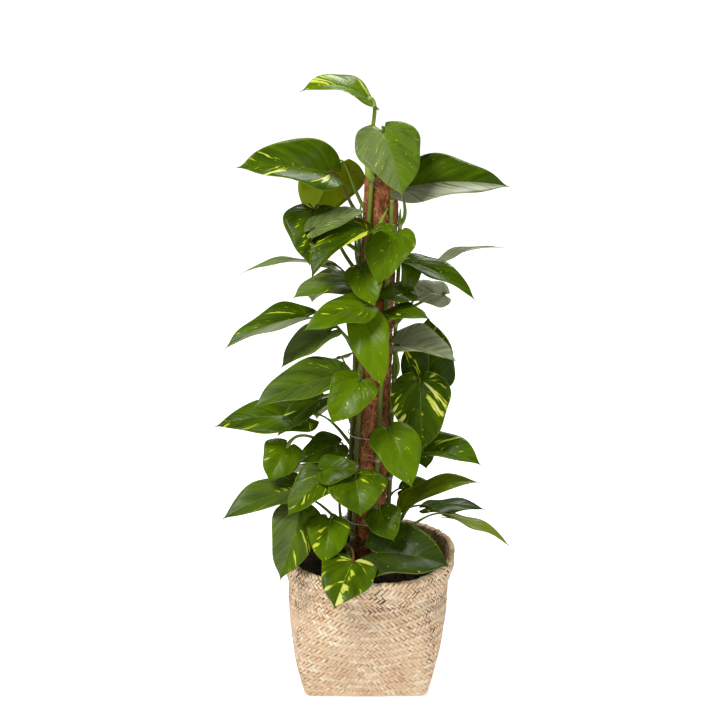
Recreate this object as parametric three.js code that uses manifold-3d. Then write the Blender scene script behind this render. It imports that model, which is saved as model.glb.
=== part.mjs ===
// A potted pothos: leafy stems climbing a coir pole, in a nursery pot inside a woven basket.
// Millimetres, +Z up, the origin at the centre of the basket's flat underside.
// Bearings are degrees seen from above: 0 is +X, 90 is +Y (the back), -90 is the front.

import * as THREE from 'three';
import { mergeVertices } from 'three/addons/utils/BufferGeometryUtils.js';
import Module from 'manifold-3d';

const wasm = await Module();
wasm.setup();

// Driving dimensions.
const gap = 0.3;
const basket = {
  halfBase: 78.5, halfBelly: 103, bellyHeight: 120, rimRadius: 110, rimHeight: 172,
  backRise: 6, cuffDrop: 34, wall: 5, rimShift: 5, cornerPower: 8, sides: 40,
};
const pot = {
  footRadius: 66, topRadius: 93, lip: 4, wall: 2, top: 157, floor: 5, centre: 2,
  drainHoles: 6, drainRadius: 5, drainRing: 40, sides: 32,
};
const soil = { top: 147, mound: 4 };
const pole = { radius: 21.5, bore: 11, length: 600, bottom: 70, lean: 2.07 };
const stake = { radius: 10.6, bottom: 11.5, top: 664 };
const stem = { radius: 3, round: 25, spread: 31, bottom: 112, easeFrom: 165, easeTo: 195, step: 45 };
const stalk = { radius: 1.5, sides: 4, steps: 4, tuck: 4, leaving: 0.3, arriving: 0.25, arch: 0.12 };
const blade = { thickness: 0.8, fold: 0.22, taper: 0.36, droop: 0.1, wave: 0.018, ripples: 9, curl: 0.7, veinSlant: 0.3 };
const tie = { radius: 30, wire: 0.8, heights: [213, 327] };

const colours = {
  straw: 0xd0b48c, black: 0x1c1c1c, earth: 0x2e2119, coir: 0x7a4a30, cane: 0x9a8560,
  leaf: 0x4f7218, steel: 0xb4b4b0,
};

// Each stem has its bearings at the soil and at its tip, and one entry for each leaf:
// node: height where the leaf stalk leaves the stem. height, bearing, reach: where the blade
// starts, from the pole's axis. heading, dip: where the midrib points, dip below level.
// facing, tilt: how the upper face leans from straight up towards a bearing. fold: how far
// the halves of the blade close like a V.
const vines = {
  vine_a: {
    foot: -140, tip: -120, top: 690,
    leaves: [
      { node: 655, height: 744, bearing: -140, reach: 25, length: 90, width: 56, heading: 200, dip: -10,
        facing: -90, tilt: 22, curl: 1.3, fold: 0.35 },
      { node: 560, height: 594, bearing: -108, reach: 48, length: 100, width: 58, heading: 215, dip: 30,
        facing: -120, tilt: 20, curl: 1.1, fold: 0.7 },
      { node: 520, height: 550, bearing: -115, reach: 50, length: 58, width: 46, heading: -66, dip: 45,
        facing: -100, tilt: 55, fold: 0.4 },
      { node: 480, height: 510, bearing: -100, reach: 73, length: 90, width: 46, heading: 205, dip: 15,
        facing: -90, tilt: 40, fold: 0.3 },
      { node: 455, height: 497, bearing: -105, reach: 66, length: 96, width: 50, heading: -60, dip: 60,
        facing: -95, tilt: 60 },
      { node: 390, height: 420, bearing: -102, reach: 86, length: 66, width: 56, heading: 215, dip: 48,
        facing: -95, tilt: 55, fold: 0.3 },
      { node: 290, height: 300, bearing: -132, reach: 92, length: 50, width: 40, heading: -15, dip: -5,
        facing: -90, tilt: 50 },
      { node: 255, height: 295, bearing: -105, reach: 75, length: 58, width: 74, heading: -80, dip: 45,
        facing: -90, tilt: 50 },
      { node: 195, height: 232, bearing: -131, reach: 66, length: 57, width: 46, heading: 258, dip: 52,
        facing: -95, tilt: 60 },
      { node: 175, height: 190, bearing: -100, reach: 95, length: 68, width: 62, heading: -113, dip: 34,
        facing: -95, tilt: 45 },
    ],
  },
  vine_b: {
    foot: -75, tip: -60, top: 640,
    leaves: [
      { node: 630, height: 717, bearing: -93, reach: 45, length: 92, width: 80, heading: -65, dip: 52,
        facing: -80, tilt: 55 },
      { node: 550, height: 592, bearing: -63, reach: 45, length: 72, width: 60, heading: -126, dip: 55,
        facing: -108, tilt: 58, fold: 0.4 },
      { node: 450, height: 490, bearing: -78, reach: 42, length: 66, width: 44, heading: -32, dip: -3,
        facing: -90, tilt: 20, fold: 0.3 },
      { node: 300, height: 350, bearing: -72, reach: 66, length: 80, width: 60, heading: -56, dip: 52,
        facing: -80, tilt: 58 },
      { node: 230, height: 246, bearing: -79, reach: 64, length: 47, width: 46, heading: -58, dip: 42,
        facing: -100, tilt: 50 },
      { node: 175, height: 189, bearing: -84, reach: 62, length: 102, width: 86, heading: -15, dip: 5,
        facing: -90, tilt: 34, fold: 0.45 },
    ],
  },
  vine_c: {
    foot: 180, tip: 190, top: 620,
    leaves: [
      { node: 605, height: 662, bearing: -155, reach: 70, length: 118, width: 70, heading: 195, dip: -6,
        facing: -80, tilt: 44, fold: 0.6 },
      { node: 560, height: 599, bearing: -146, reach: 99, length: 74, width: 40, heading: 15, dip: -15,
        facing: -90, tilt: 22 },
      { node: 535, height: 616, bearing: -165, reach: 82, length: 78, width: 72, heading: -98, dip: 50,
        facing: -90, tilt: 60 },
      { node: 485, height: 528, bearing: -140, reach: 46, length: 78, width: 52, heading: 203, dip: 10,
        facing: -90, tilt: 22, fold: 0.3 },
      { node: 440, height: 487, bearing: -155, reach: 93, length: 114, width: 44, heading: 196, dip: 18,
        facing: -80, tilt: 20, fold: 0.6 },
      { node: 370, height: 416, bearing: -129, reach: 65, length: 122, width: 60, heading: 200, dip: 15,
        facing: -90, tilt: 32, fold: 0.5 },
      { node: 290, height: 319, bearing: -150, reach: 47, length: 58, width: 44, heading: 205, dip: 18,
        facing: -90, tilt: 30, fold: 0.25 },
      { node: 240, height: 288, bearing: -132, reach: 76, length: 74, width: 38, heading: 213, dip: 36,
        facing: -100, tilt: 35, fold: 0.5 },
      { node: 230, height: 265, bearing: -156, reach: 98, length: 106, width: 52, heading: 197, dip: 17,
        facing: -90, tilt: 30, fold: 0.5 },
      { node: 195, height: 242, bearing: -148, reach: 98, length: 94, width: 60, heading: 244, dip: 55,
        facing: -100, tilt: 60 },
    ],
  },
  vine_d: {
    foot: -10, tip: -15, top: 615,
    leaves: [
      { node: 595, height: 646, bearing: -51, reach: 43, length: 130, width: 64, heading: 0, dip: 0,
        facing: -75, tilt: 44, fold: 0.6 },
      { node: 505, height: 547, bearing: -8, reach: 38, length: 98, width: 42, heading: -20, dip: 26,
        facing: -90, tilt: 15, fold: 0.5 },
      { node: 470, height: 516, bearing: -40, reach: 54, length: 46, width: 40, heading: 195, dip: 5,
        facing: -90, tilt: 25 },
      { node: 400, height: 447, bearing: -48, reach: 40, length: 79, width: 54, heading: -18, dip: 10,
        facing: -90, tilt: 23, fold: 0.75 },
      { node: 360, height: 401, bearing: -20, reach: 60, length: 92, width: 74, heading: -85, dip: 70,
        facing: -90, tilt: 75 },
      { node: 270, height: 305, bearing: -18, reach: 66, length: 82, width: 56, heading: -18, dip: 6,
        facing: -80, tilt: 24, curl: 1, fold: 0.7 },
      { node: 195, height: 226, bearing: -19, reach: 46, length: 117, width: 40, heading: -9, dip: -24,
        facing: -100, tilt: 25, curl: 1.4, fold: 0.45 },
      { node: 178, height: 216, bearing: -6, reach: 103, length: 88, width: 26, heading: -18, dip: 21,
        facing: -90, tilt: 5, fold: 0.45 },
    ],
  },
  vine_e: {
    foot: 150, tip: 140, top: 625,
    leaves: [
      { node: 610, height: 667, bearing: 165, reach: 55, length: 100, width: 80, heading: 140, dip: 60,
        facing: 90, tilt: 70 },
      { node: 530, height: 575, bearing: 120, reach: 60, length: 84, width: 60, heading: 110, dip: 25 },
      { node: 500, height: 541, bearing: 176, reach: 62, length: 112, width: 46, heading: 184, dip: 5,
        facing: -90, tilt: -4, fold: 0.3 },
      { node: 420, height: 463, bearing: -165, reach: 58, length: 80, width: 48, heading: 203, dip: 32,
        facing: -90, tilt: 22, fold: 0.45 },
      { node: 380, height: 408, bearing: 130, reach: 70, length: 90, width: 66, heading: 125, dip: 35 },
      { node: 350, height: 374, bearing: -168, reach: 68, length: 74, width: 34, heading: 207, dip: 34,
        facing: -90, tilt: 32, fold: 0.45 },
      { node: 325, height: 362, bearing: 125, reach: 65, length: 85, width: 62, heading: 125, dip: 40 },
      { node: 300, height: 353, bearing: -168, reach: 84, length: 120, width: 58, heading: 186, dip: 5,
        facing: -90, tilt: 35 },
      { node: 270, height: 318, bearing: -165, reach: 108, length: 54, width: 52, heading: 230, dip: 45,
        facing: -90, tilt: 60 },
      { node: 230, height: 270, bearing: 135, reach: 75, length: 80, width: 60, heading: 140, dip: 30 },
      { node: 465, height: 505, bearing: 125, reach: 75, length: 86, width: 62, heading: 125, dip: 30 },
      { node: 180, height: 228, bearing: 120, reach: 85, length: 82, width: 58, heading: 125, dip: 20 },
    ],
  },
  vine_f: {
    foot: 40, tip: 45, top: 560,
    leaves: [
      { node: 530, height: 590, bearing: 90, reach: 55, length: 84, width: 50, heading: 85, dip: 30 },
      { node: 500, height: 538, bearing: 13, reach: 71, length: 92, width: 36, heading: 10, dip: -12,
        facing: -90, tilt: -6, fold: 0.38 },
      { node: 462, height: 502, bearing: 8, reach: 85, length: 58, width: 42, heading: 190, dip: -3,
        facing: -90, tilt: 40 },
      { node: 420, height: 455, bearing: 92, reach: 60, length: 88, width: 56, heading: 92, dip: 35 },
      { node: 350, height: 388, bearing: 5, reach: 68, length: 88, width: 70, heading: 90, dip: -75,
        facing: -85, tilt: 80 },
      { node: 335, height: 370, bearing: 90, reach: 70, length: 82, width: 56, heading: 100, dip: 45 },
      { node: 280, height: 309, bearing: 14, reach: 60, length: 42, width: 42, heading: -70, dip: 40,
        facing: -70, tilt: 50 },
      { node: 395, height: 430, bearing: 62, reach: 72, length: 78, width: 56, heading: 62, dip: 30 },
      { node: 240, height: 275, bearing: 78, reach: 68, length: 80, width: 60, heading: 80, dip: 35 },
      { node: 225, height: 245, bearing: 22, reach: 45, length: 48, width: 36, heading: -15, dip: -5,
        facing: -80, tilt: 40 },
      { node: 190, height: 220, bearing: 13, reach: 76, length: 78, width: 42, heading: -3, dip: 2,
        facing: -90, tilt: 8, fold: 0.15 },
      { node: 180, height: 225, bearing: 100, reach: 75, length: 80, width: 60, heading: 100, dip: 25 },
    ],
  },
};

const radians = THREE.MathUtils.degToRad;

// Booleans.

function toSolid(geometry) {
  const bare = geometry.clone();
  bare.deleteAttribute('normal');
  bare.deleteAttribute('uv');
  const merged = mergeVertices(bare);
  return new wasm.Manifold(new wasm.Mesh({
    numProp: 3,
    vertProperties: new Float32Array(merged.attributes.position.array),
    triVerts: new Uint32Array(merged.index.array),
  }));
}

function toGeometry(solid) {
  const mesh = solid.getMesh();
  const geometry = new THREE.BufferGeometry();
  geometry.setAttribute('position', new THREE.BufferAttribute(mesh.vertProperties, 3));
  geometry.setIndex(new THREE.BufferAttribute(mesh.triVerts, 1));
  return geometry;
}

function closedGeometry(points, triangles) {
  const geometry = new THREE.BufferGeometry();
  geometry.setAttribute('position', new THREE.Float32BufferAttribute(points.flatMap((p) => p.toArray()), 3));
  geometry.setIndex(signedVolume(points, triangles) < 0
    ? triangles.flatMap(([a, b, c]) => [a, c, b]) : triangles.flat());
  return geometry;
}

function signedVolume(points, triangles) {
  const cross = new THREE.Vector3();
  return triangles.reduce((sum, [a, b, c]) => (
    sum + points[a].dot(cross.crossVectors(points[b], points[c]))), 0);
}

// Tube with a plain polygon section along a curve.
function tube(curve, radius, sides, steps) {
  const section = new THREE.Shape();
  for (let i = 0; i < sides; i += 1) {
    const angle = (2 * Math.PI * i) / sides;
    const x = radius * Math.cos(angle);
    const y = radius * Math.sin(angle);
    if (i === 0) section.moveTo(x, y);
    else section.lineTo(x, y);
  }
  section.closePath();
  return new THREE.ExtrudeGeometry(section, { steps, extrudePath: curve, bevelEnabled: false });
}

// Basket.

function rimAt(angle) {
  return basket.rimHeight + basket.backRise * Math.sin(angle) + 2 * Math.sin(3 * angle + 1);
}

// Square at the floor, round at the rim.
function basketRadius(angle, height) {
  const rise = Math.min(1, height / basket.bellyHeight);
  const half = basket.halfBase + (basket.halfBelly - basket.halfBase) * Math.sin((rise * Math.PI) / 2);
  const power = THREE.MathUtils.lerp(basket.cornerPower, 2, Math.sqrt(rise));
  const sum = Math.abs(Math.cos(angle)) ** power + Math.abs(Math.sin(angle)) ** power;
  return half / sum ** (1 / power);
}

// One upright section of the wall, from the underside's centre round to the inner floor's.
function basketProfile(angle) {
  const rim = rimAt(angle);
  const hem = rim - basket.cuffDrop;
  const wallHeights = [0, 18, 45, 85];
  const outside = wallHeights.map((z) => [basketRadius(angle, z), z]);
  const cuff = [
    [basketRadius(angle, hem), hem + 2], [basketRadius(angle, hem) + 4, hem], [basket.rimRadius, hem + 16],
    [basket.rimRadius, rim - 4], [basket.rimRadius - 3, rim], [basket.rimRadius - 7, rim - 4],
  ];
  const innerHeights = [hem, 85, 45, 18, basket.wall];
  const inside = innerHeights.map((z) => [basketRadius(angle, z) - basket.wall, z]);
  return [...outside, ...cuff, ...inside];
}

function makeBasket() {
  const rows = basketProfile(0).length;
  const points = [];
  for (let side = 0; side < basket.sides; side += 1) {
    const angle = (2 * Math.PI * side) / basket.sides;
    basketProfile(angle).forEach(([radius, z]) => {
      const shift = (basket.rimShift * z) / basket.rimHeight;
      points.push(new THREE.Vector3(shift + radius * Math.cos(angle), radius * Math.sin(angle), z));
    });
  }
  const underside = points.push(new THREE.Vector3(0, 0, 0)) - 1;
  const floor = points.push(new THREE.Vector3(0, 0, basket.wall)) - 1;
  const triangles = [];
  for (let side = 0; side < basket.sides; side += 1) {
    const here = side * rows;
    const next = ((side + 1) % basket.sides) * rows;
    triangles.push([underside, next, here], [floor, here + rows - 1, next + rows - 1]);
    for (let row = 0; row < rows - 1; row += 1) {
      triangles.push([here + row, next + row, next + row + 1], [here + row, next + row + 1, here + row + 1]);
    }
  }
  return closedGeometry(points, triangles);
}

// Pot and soil.

function potFootHeight() {
  return basket.wall + gap;
}

function potFloorHeight() {
  return potFootHeight() + pot.floor;
}

function potInnerRadius(height) {
  const rise = (height - potFootHeight()) / (pot.top - potFootHeight());
  return pot.footRadius + rise * (pot.topRadius - pot.footRadius) - pot.wall;
}

function lathe(profile, sides) {
  const geometry = new THREE.LatheGeometry(profile.map(([r, z]) => new THREE.Vector2(r, z)), sides);
  return geometry.rotateX(Math.PI / 2);
}

function cylinder(radius, length, sides) {
  return new THREE.CylinderGeometry(radius, radius, length, sides).rotateX(Math.PI / 2);
}

function makePot() {
  const foot = potFootHeight();
  const floor = potFloorHeight();
  const shell = toSolid(lathe([
    [0, floor - pot.wall], [pot.footRadius - 7, floor - pot.wall], [pot.footRadius - 6, foot],
    [pot.footRadius, foot], [pot.topRadius, pot.top - 6], [pot.topRadius + pot.lip, pot.top - 6],
    [pot.topRadius + pot.lip, pot.top], [potInnerRadius(pot.top), pot.top],
    [potInnerRadius(floor), floor], [0, floor],
  ], pot.sides));
  let drained = shell;
  for (let i = 0; i < pot.drainHoles; i += 1) {
    const angle = (2 * Math.PI * i) / pot.drainHoles;
    const drill = cylinder(pot.drainRadius, 20, 10)
      .translate(pot.drainRing * Math.cos(angle), pot.drainRing * Math.sin(angle), floor);
    drained = drained.subtract(toSolid(drill));
  }
  return toGeometry(drained).translate(pot.centre, 0, 0);
}

function poleAxis(height) {
  return 2.5 + (height - 175) * Math.tan(radians(pole.lean));
}

// A straight drill along the leaning pole, from one height up past the soil.
function poleDrill(radius, bottom) {
  const length = soil.top + 40 - bottom;
  return toSolid(cylinder(radius, length, 24).translate(0, 0, length / 2)
    .rotateY(radians(pole.lean)).translate(poleAxis(bottom), 0, bottom));
}

function makeSoil() {
  const bottom = potFloorHeight() + gap;
  let body = toSolid(lathe([
    [0, bottom], [potInnerRadius(bottom) - gap, bottom], [potInnerRadius(soil.top) - gap, soil.top],
    [potInnerRadius(soil.top) / 2, soil.top + soil.mound * 0.7], [0, soil.top + soil.mound],
  ], pot.sides).translate(pot.centre, 0, 0));
  body = body.subtract(poleDrill(pole.radius + gap, pole.bottom - 1));
  body = body.subtract(poleDrill(stake.radius + gap, stake.bottom - 5));
  Object.values(vines).forEach((vine) => {
    const hole = tube(stemCurve(vine, stem.bottom - 1, soil.top + 20), stem.radius + 0.5, 6, 4);
    body = body.subtract(toSolid(hole));
  });
  return toGeometry(body);
}

// Pole.

function makePole() {
  return lathe([
    [pole.bore, 0], [pole.radius, 0], [pole.radius, pole.length], [pole.bore, pole.length], [pole.bore, 0],
  ], 24).rotateY(radians(pole.lean)).translate(poleAxis(pole.bottom), 0, pole.bottom);
}

function makeStake() {
  const length = stake.top - stake.bottom;
  return cylinder(stake.radius, length, 16).translate(0, 0, length / 2)
    .rotateY(radians(pole.lean)).translate(poleAxis(stake.bottom), 0, stake.bottom + 0.5);
}

function makeTie(height) {
  return new THREE.TorusGeometry(tie.radius, tie.wire, 4, 24)
    .rotateY(radians(pole.lean)).translate(poleAxis(height), 0, height);
}

// Leafy stems.

function stemPoint(vine, height) {
  const rise = THREE.MathUtils.clamp((height - stem.easeTo) / (vine.top - stem.easeTo), 0, 1);
  const bearing = radians(THREE.MathUtils.lerp(vine.foot, vine.tip, rise));
  const away = 1 - THREE.MathUtils.smoothstep(height, stem.easeFrom, stem.easeTo);
  const radius = THREE.MathUtils.lerp(stem.round, stem.spread, away);
  return new THREE.Vector3(poleAxis(height) + radius * Math.cos(bearing), radius * Math.sin(bearing), height);
}

function stemCurve(vine, from, to) {
  const count = Math.max(3, Math.ceil((to - from) / stem.step));
  const heightOf = (i) => THREE.MathUtils.lerp(from, to, i / count);
  const points = Array.from({ length: count + 1 }, (_, i) => stemPoint(vine, heightOf(i)));
  return new THREE.CatmullRomCurve3(points);
}

function direction(bearing, dip) {
  const flat = Math.cos(radians(dip));
  return new THREE.Vector3(flat * Math.cos(radians(bearing)), flat * Math.sin(radians(bearing)),
    -Math.sin(radians(dip)));
}

// The blade's own axes: along the midrib, out of the upper face, and across.
function bladeAxes(leaf) {
  const along = direction(leaf.heading, leaf.dip);
  const facing = leaf.facing ?? leaf.bearing;
  const face = direction(facing, (leaf.tilt ?? 45) - 90);
  face.addScaledVector(along, -face.dot(along)).normalize();
  return { along, face, across: new THREE.Vector3().crossVectors(face, along) };
}

function bladeStart(leaf) {
  return direction(leaf.bearing, 0).multiplyScalar(leaf.reach)
    .add(new THREE.Vector3(poleAxis(leaf.height), 0, leaf.height));
}

// Half the heart-shaped outline: turn 0 is the tip, turn 1 the notch at the stalk.
function heartEdge(turn) {
  const angle = Math.PI * turn;
  return {
    along: 0.4 + 0.52 * Math.cos(angle) + 0.08 * Math.exp(-3 * angle),
    across: Math.sin(angle - blade.taper * Math.sin(angle)),
  };
}

// A point of the blade's middle surface, from its flat place along and across the midrib.
function bladePoint(leaf, axes, along, across) {
  const bend = leaf.curl ?? blade.curl;
  const start = bend / 2;
  const turn = (bend * along) / leaf.length - start;
  const radius = leaf.length / bend;
  const forward = radius * (Math.sin(turn) + Math.sin(start));
  const height = radius * (Math.cos(turn) - Math.cos(start));
  const half = leaf.width / 2;
  const side = across / half;
  const phase = (blade.ripples * along) / leaf.length + Math.sign(across) + leaf.node;
  const ripple = Math.sin(phase) * side * side;
  const lift = (leaf.fold ?? blade.fold) * Math.hypot(across, 2) - blade.droop * leaf.width * side * side
    + blade.wave * leaf.length * ripple;
  return bladeStart(leaf)
    .addScaledVector(axes.along, forward + lift * Math.sin(turn))
    .addScaledVector(axes.face, height + lift * Math.cos(turn))
    .addScaledVector(axes.across, across);
}

function bladeNormal(leaf, axes, along, across) {
  const step = 0.5;
  const lengthwise = bladePoint(leaf, axes, along + step, across)
    .sub(bladePoint(leaf, axes, along - step, across));
  const sideways = bladePoint(leaf, axes, along, across + step)
    .sub(bladePoint(leaf, axes, along, across - step));
  return lengthwise.cross(sideways).normalize();
}

// Rows run from the tip to the notch. Each half has a midrib, a middle and an edge column.
function makeBlade(leaf) {
  const axes = bladeAxes(leaf);
  const turns = [0.14, 0.27, 0.4, 0.53, 0.66, 0.8, 0.93];
  const flat = [[leaf.length, 0]];
  const midribAt = new Map();
  const midribs = turns.map((turn) => {
    const edge = heartEdge(turn);
    const along = Math.max(0, edge.along - blade.veinSlant * edge.across) * leaf.length;
    if (!midribAt.has(along)) midribAt.set(along, flat.push([along, 0]) - 1);
    return midribAt.get(along);
  });
  const halves = [1, -1].map((side) => turns.map((turn, row) => {
    const edge = heartEdge(turn);
    const along = edge.along * leaf.length;
    const across = (side * edge.across * leaf.width) / 2;
    const middle = flat.push([(flat[midribs[row]][0] + along) / 2, across / 2]) - 1;
    return { middle, edge: flat.push([along, across]) - 1 };
  }));
  const upper = [];
  halves.forEach((half, index) => {
    const add = (a, b, c) => {
      if (a !== b && b !== c && a !== c) upper.push(index === 0 ? [a, b, c] : [a, c, b]);
    };
    add(0, midribs[0], half[0].middle);
    add(0, half[0].middle, half[0].edge);
    for (let row = 0; row < turns.length - 1; row += 1) {
      const here = half[row];
      const next = half[row + 1];
      add(midribs[row], midribs[row + 1], next.middle);
      add(midribs[row], next.middle, here.middle);
      add(here.middle, next.middle, next.edge);
      add(here.middle, next.edge, here.edge);
    }
  });
  const root = midribs[midribs.length - 1];
  const last = turns.length - 1;
  const rimLoop = [0, ...halves[0].map((row) => row.edge), halves[0][last].middle, root,
    halves[1][last].middle, ...halves[1].map((row) => row.edge).reverse()];
  return thicken(leaf, axes, flat, upper, rimLoop);
}

// Both faces are split into the same triangles, and a rim of quads joins them.
function thicken(leaf, axes, flat, upper, rimLoop) {
  const half = blade.thickness / 2;
  const place = (side) => flat.map(([along, across]) => bladePoint(leaf, axes, along, across)
    .addScaledVector(bladeNormal(leaf, axes, along, across), side * half));
  const count = flat.length;
  const triangles = [...upper, ...upper.map(([a, b, c]) => [a + count, c + count, b + count])];
  rimLoop.forEach((a, i) => {
    const b = rimLoop[(i + 1) % rimLoop.length];
    triangles.push([a, b, b + count], [a, b + count, a + count]);
  });
  return closedGeometry([...place(1), ...place(-1)], triangles);
}

// The stalk leaves the stem outwards and upwards, arches over, and runs a little into the blade.
function makeStalk(vine, leaf) {
  const from = stemPoint(vine, leaf.node);
  const to = bladeStart(leaf);
  const axes = bladeAxes(leaf);
  const span = from.distanceTo(to);
  const outward = new THREE.Vector3(from.x - poleAxis(leaf.node), from.y, 0).normalize();
  const leaving = from.clone().addScaledVector(outward, span * stalk.leaving);
  leaving.z += span * stalk.leaving;
  const arriving = to.clone().addScaledVector(axes.along, -span * stalk.arriving);
  arriving.z += span * stalk.arch;
  const end = bladePoint(leaf, axes, stalk.tuck, 0);
  const curve = new THREE.CubicBezierCurve3(from, leaving, arriving, end);
  return tube(curve, stalk.radius, stalk.sides, stalk.steps);
}

function makeVine(vine) {
  const pieces = [tube(stemCurve(vine, stem.bottom, vine.top), stem.radius, 6, Math.ceil(vine.top / 50))];
  vine.leaves.forEach((leaf) => pieces.push(makeStalk(vine, leaf), makeBlade(leaf)));
  return toGeometry(wasm.Manifold.union(pieces.map(toSolid)).simplify(0.05));
}

// Assembly.

function named(name, geometry, color, roughness, metalness = 0) {
  const mesh = new THREE.Mesh(geometry, new THREE.MeshStandardMaterial({ color, roughness, metalness }));
  mesh.name = name;
  return mesh;
}

const plant = new THREE.Group();
plant.name = 'potted_pothos';
plant.add(
  named('basket', makeBasket(), colours.straw, 0.9),
  named('nursery_pot', makePot(), colours.black, 0.5),
  named('soil', makeSoil(), colours.earth, 1),
  named('coir_pole', makePole(), colours.coir, 1),
  named('pole_stake', makeStake(), colours.cane, 0.7),
);
tie.heights.forEach((height, i) => plant.add(named(`tie_${i + 1}`, makeTie(height), colours.steel, 0.4, 1)));
Object.entries(vines).forEach(([name, vine]) => plant.add(named(name, makeVine(vine), colours.leaf, 0.45)));

export default plant;
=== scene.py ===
# A potted pothos on a coir pole: leafy stems, woven basket, nursery pot and soil.
# Metres, +Z up, in the frame's own places. The plant's rows are in millimetres and degrees.
import math

import bmesh
import bpy
import numpy as np
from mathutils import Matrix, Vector


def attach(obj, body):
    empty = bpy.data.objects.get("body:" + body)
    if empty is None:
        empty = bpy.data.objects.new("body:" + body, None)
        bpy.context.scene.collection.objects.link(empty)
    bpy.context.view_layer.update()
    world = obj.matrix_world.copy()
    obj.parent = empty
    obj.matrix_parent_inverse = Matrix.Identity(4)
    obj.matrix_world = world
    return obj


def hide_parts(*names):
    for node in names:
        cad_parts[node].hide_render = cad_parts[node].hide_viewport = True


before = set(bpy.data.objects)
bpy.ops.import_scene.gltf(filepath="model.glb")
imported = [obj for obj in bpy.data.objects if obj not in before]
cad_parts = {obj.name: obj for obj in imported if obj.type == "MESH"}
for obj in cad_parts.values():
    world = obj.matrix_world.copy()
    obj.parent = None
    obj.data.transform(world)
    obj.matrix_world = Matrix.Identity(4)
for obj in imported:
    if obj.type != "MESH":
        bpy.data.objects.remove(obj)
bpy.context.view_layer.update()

mm = 0.001
print("frame loaded:", len(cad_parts), "nodes")

# The plant's shapes: pole, stems, stalks, short roots, rolled shoots and blades.
poleShape = {"radius": 21.5, "bore": 11, "length": 600, "bottom": 70, "lean": 2.07, "atSoil": 2.5,
             "soil": 175}
stemShape = {"round": 25, "spread": 31, "bottom": 112, "easeFrom": 165, "easeTo": 195, "steps": 220,
             "sides": 14, "low": 3.2, "high": 2.3, "node": 1.0, "nodeReach": 3.2,
             "tipReach": 22, "wobble": 0.5}
stalkShape = {"tuck": 4, "leaving": 0.3, "arriving": 0.25, "arch": 0.12, "steps": 26, "sides": 10,
              "sheath": 2.7, "sheathEnd": 0.55, "middle": 1.25, "joint": 1.7, "jointAt": 0.93}
rootShape = {"radius": 0.55, "reach": 0.55, "below": 5, "rise": 9, "lift": 21.9, "steps": 12, "sides": 6}
shoots = [{"vine": "vine_b", "start": (14, -27, 588), "end": (27, -30, 621), "bow": -1.5, "radius": 2.9}]
bladeShape = {"thickness": 0.6, "taper": 0.36, "droop": 0.1, "wave": 0.035, "ripples": 9, "uneven": 0.05,
              "veinSlant": 0.5, "veinBow": 1.35, "toMidrib": 1.4, "veins": 10, "relief": 0.3, "groove": 0.5,
              "ridge": 1.1, "ribWidth": 1.3, "tip": 0.8, "tipReach": 0.46, "lastTurn": 0.955, "rows": 64,
              "columns": 12}


# node: where the stalk leaves the stem. height, bearing and reach: the blade's start from the pole's
# axis. length and width size the blade, and heading and dip aim its midrib.
# facing and tilt lean the upper face, curl bends the midrib and fold closes the halves.
# cream: share of pale streaks. tone: 0 dark, 1 bright: the leaf's own green, partly painted shade and light.
# lime: the streaks' hue. olive: a yellow-brown tint of the upper face. pale: how light the under face is.
# sheen: painted grey gloss, a painted reflection, on each upper half.
# stout, fresh and red: the stalk's thickness and colours. leave: how far it starts outwards.
# fan: a patch of pale strokes, as its place round and across the blade and its strength.
leafPlaces = ("node", "height", "bearing", "reach", "length", "width", "heading", "dip", "facing", "tilt",
              "curl", "fold")
leafLook = {"tilt": 45, "curl": 0.7, "fold": 0.22, "cream": 0.2, "tone": 0.4, "lime": 0.6, "olive": 0.0,
            "pale": 0.4, "sheen": (0, 0), "stout": 1.0, "fresh": 0.15, "red": 0.0, "leave": 1.0,
            "fan": (0, 0, 0)}


def leaf(*places, **looks):
    entry = {**leafLook, **dict(zip(leafPlaces, places)), **looks}
    entry.setdefault("facing", entry["bearing"])
    return entry


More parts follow.
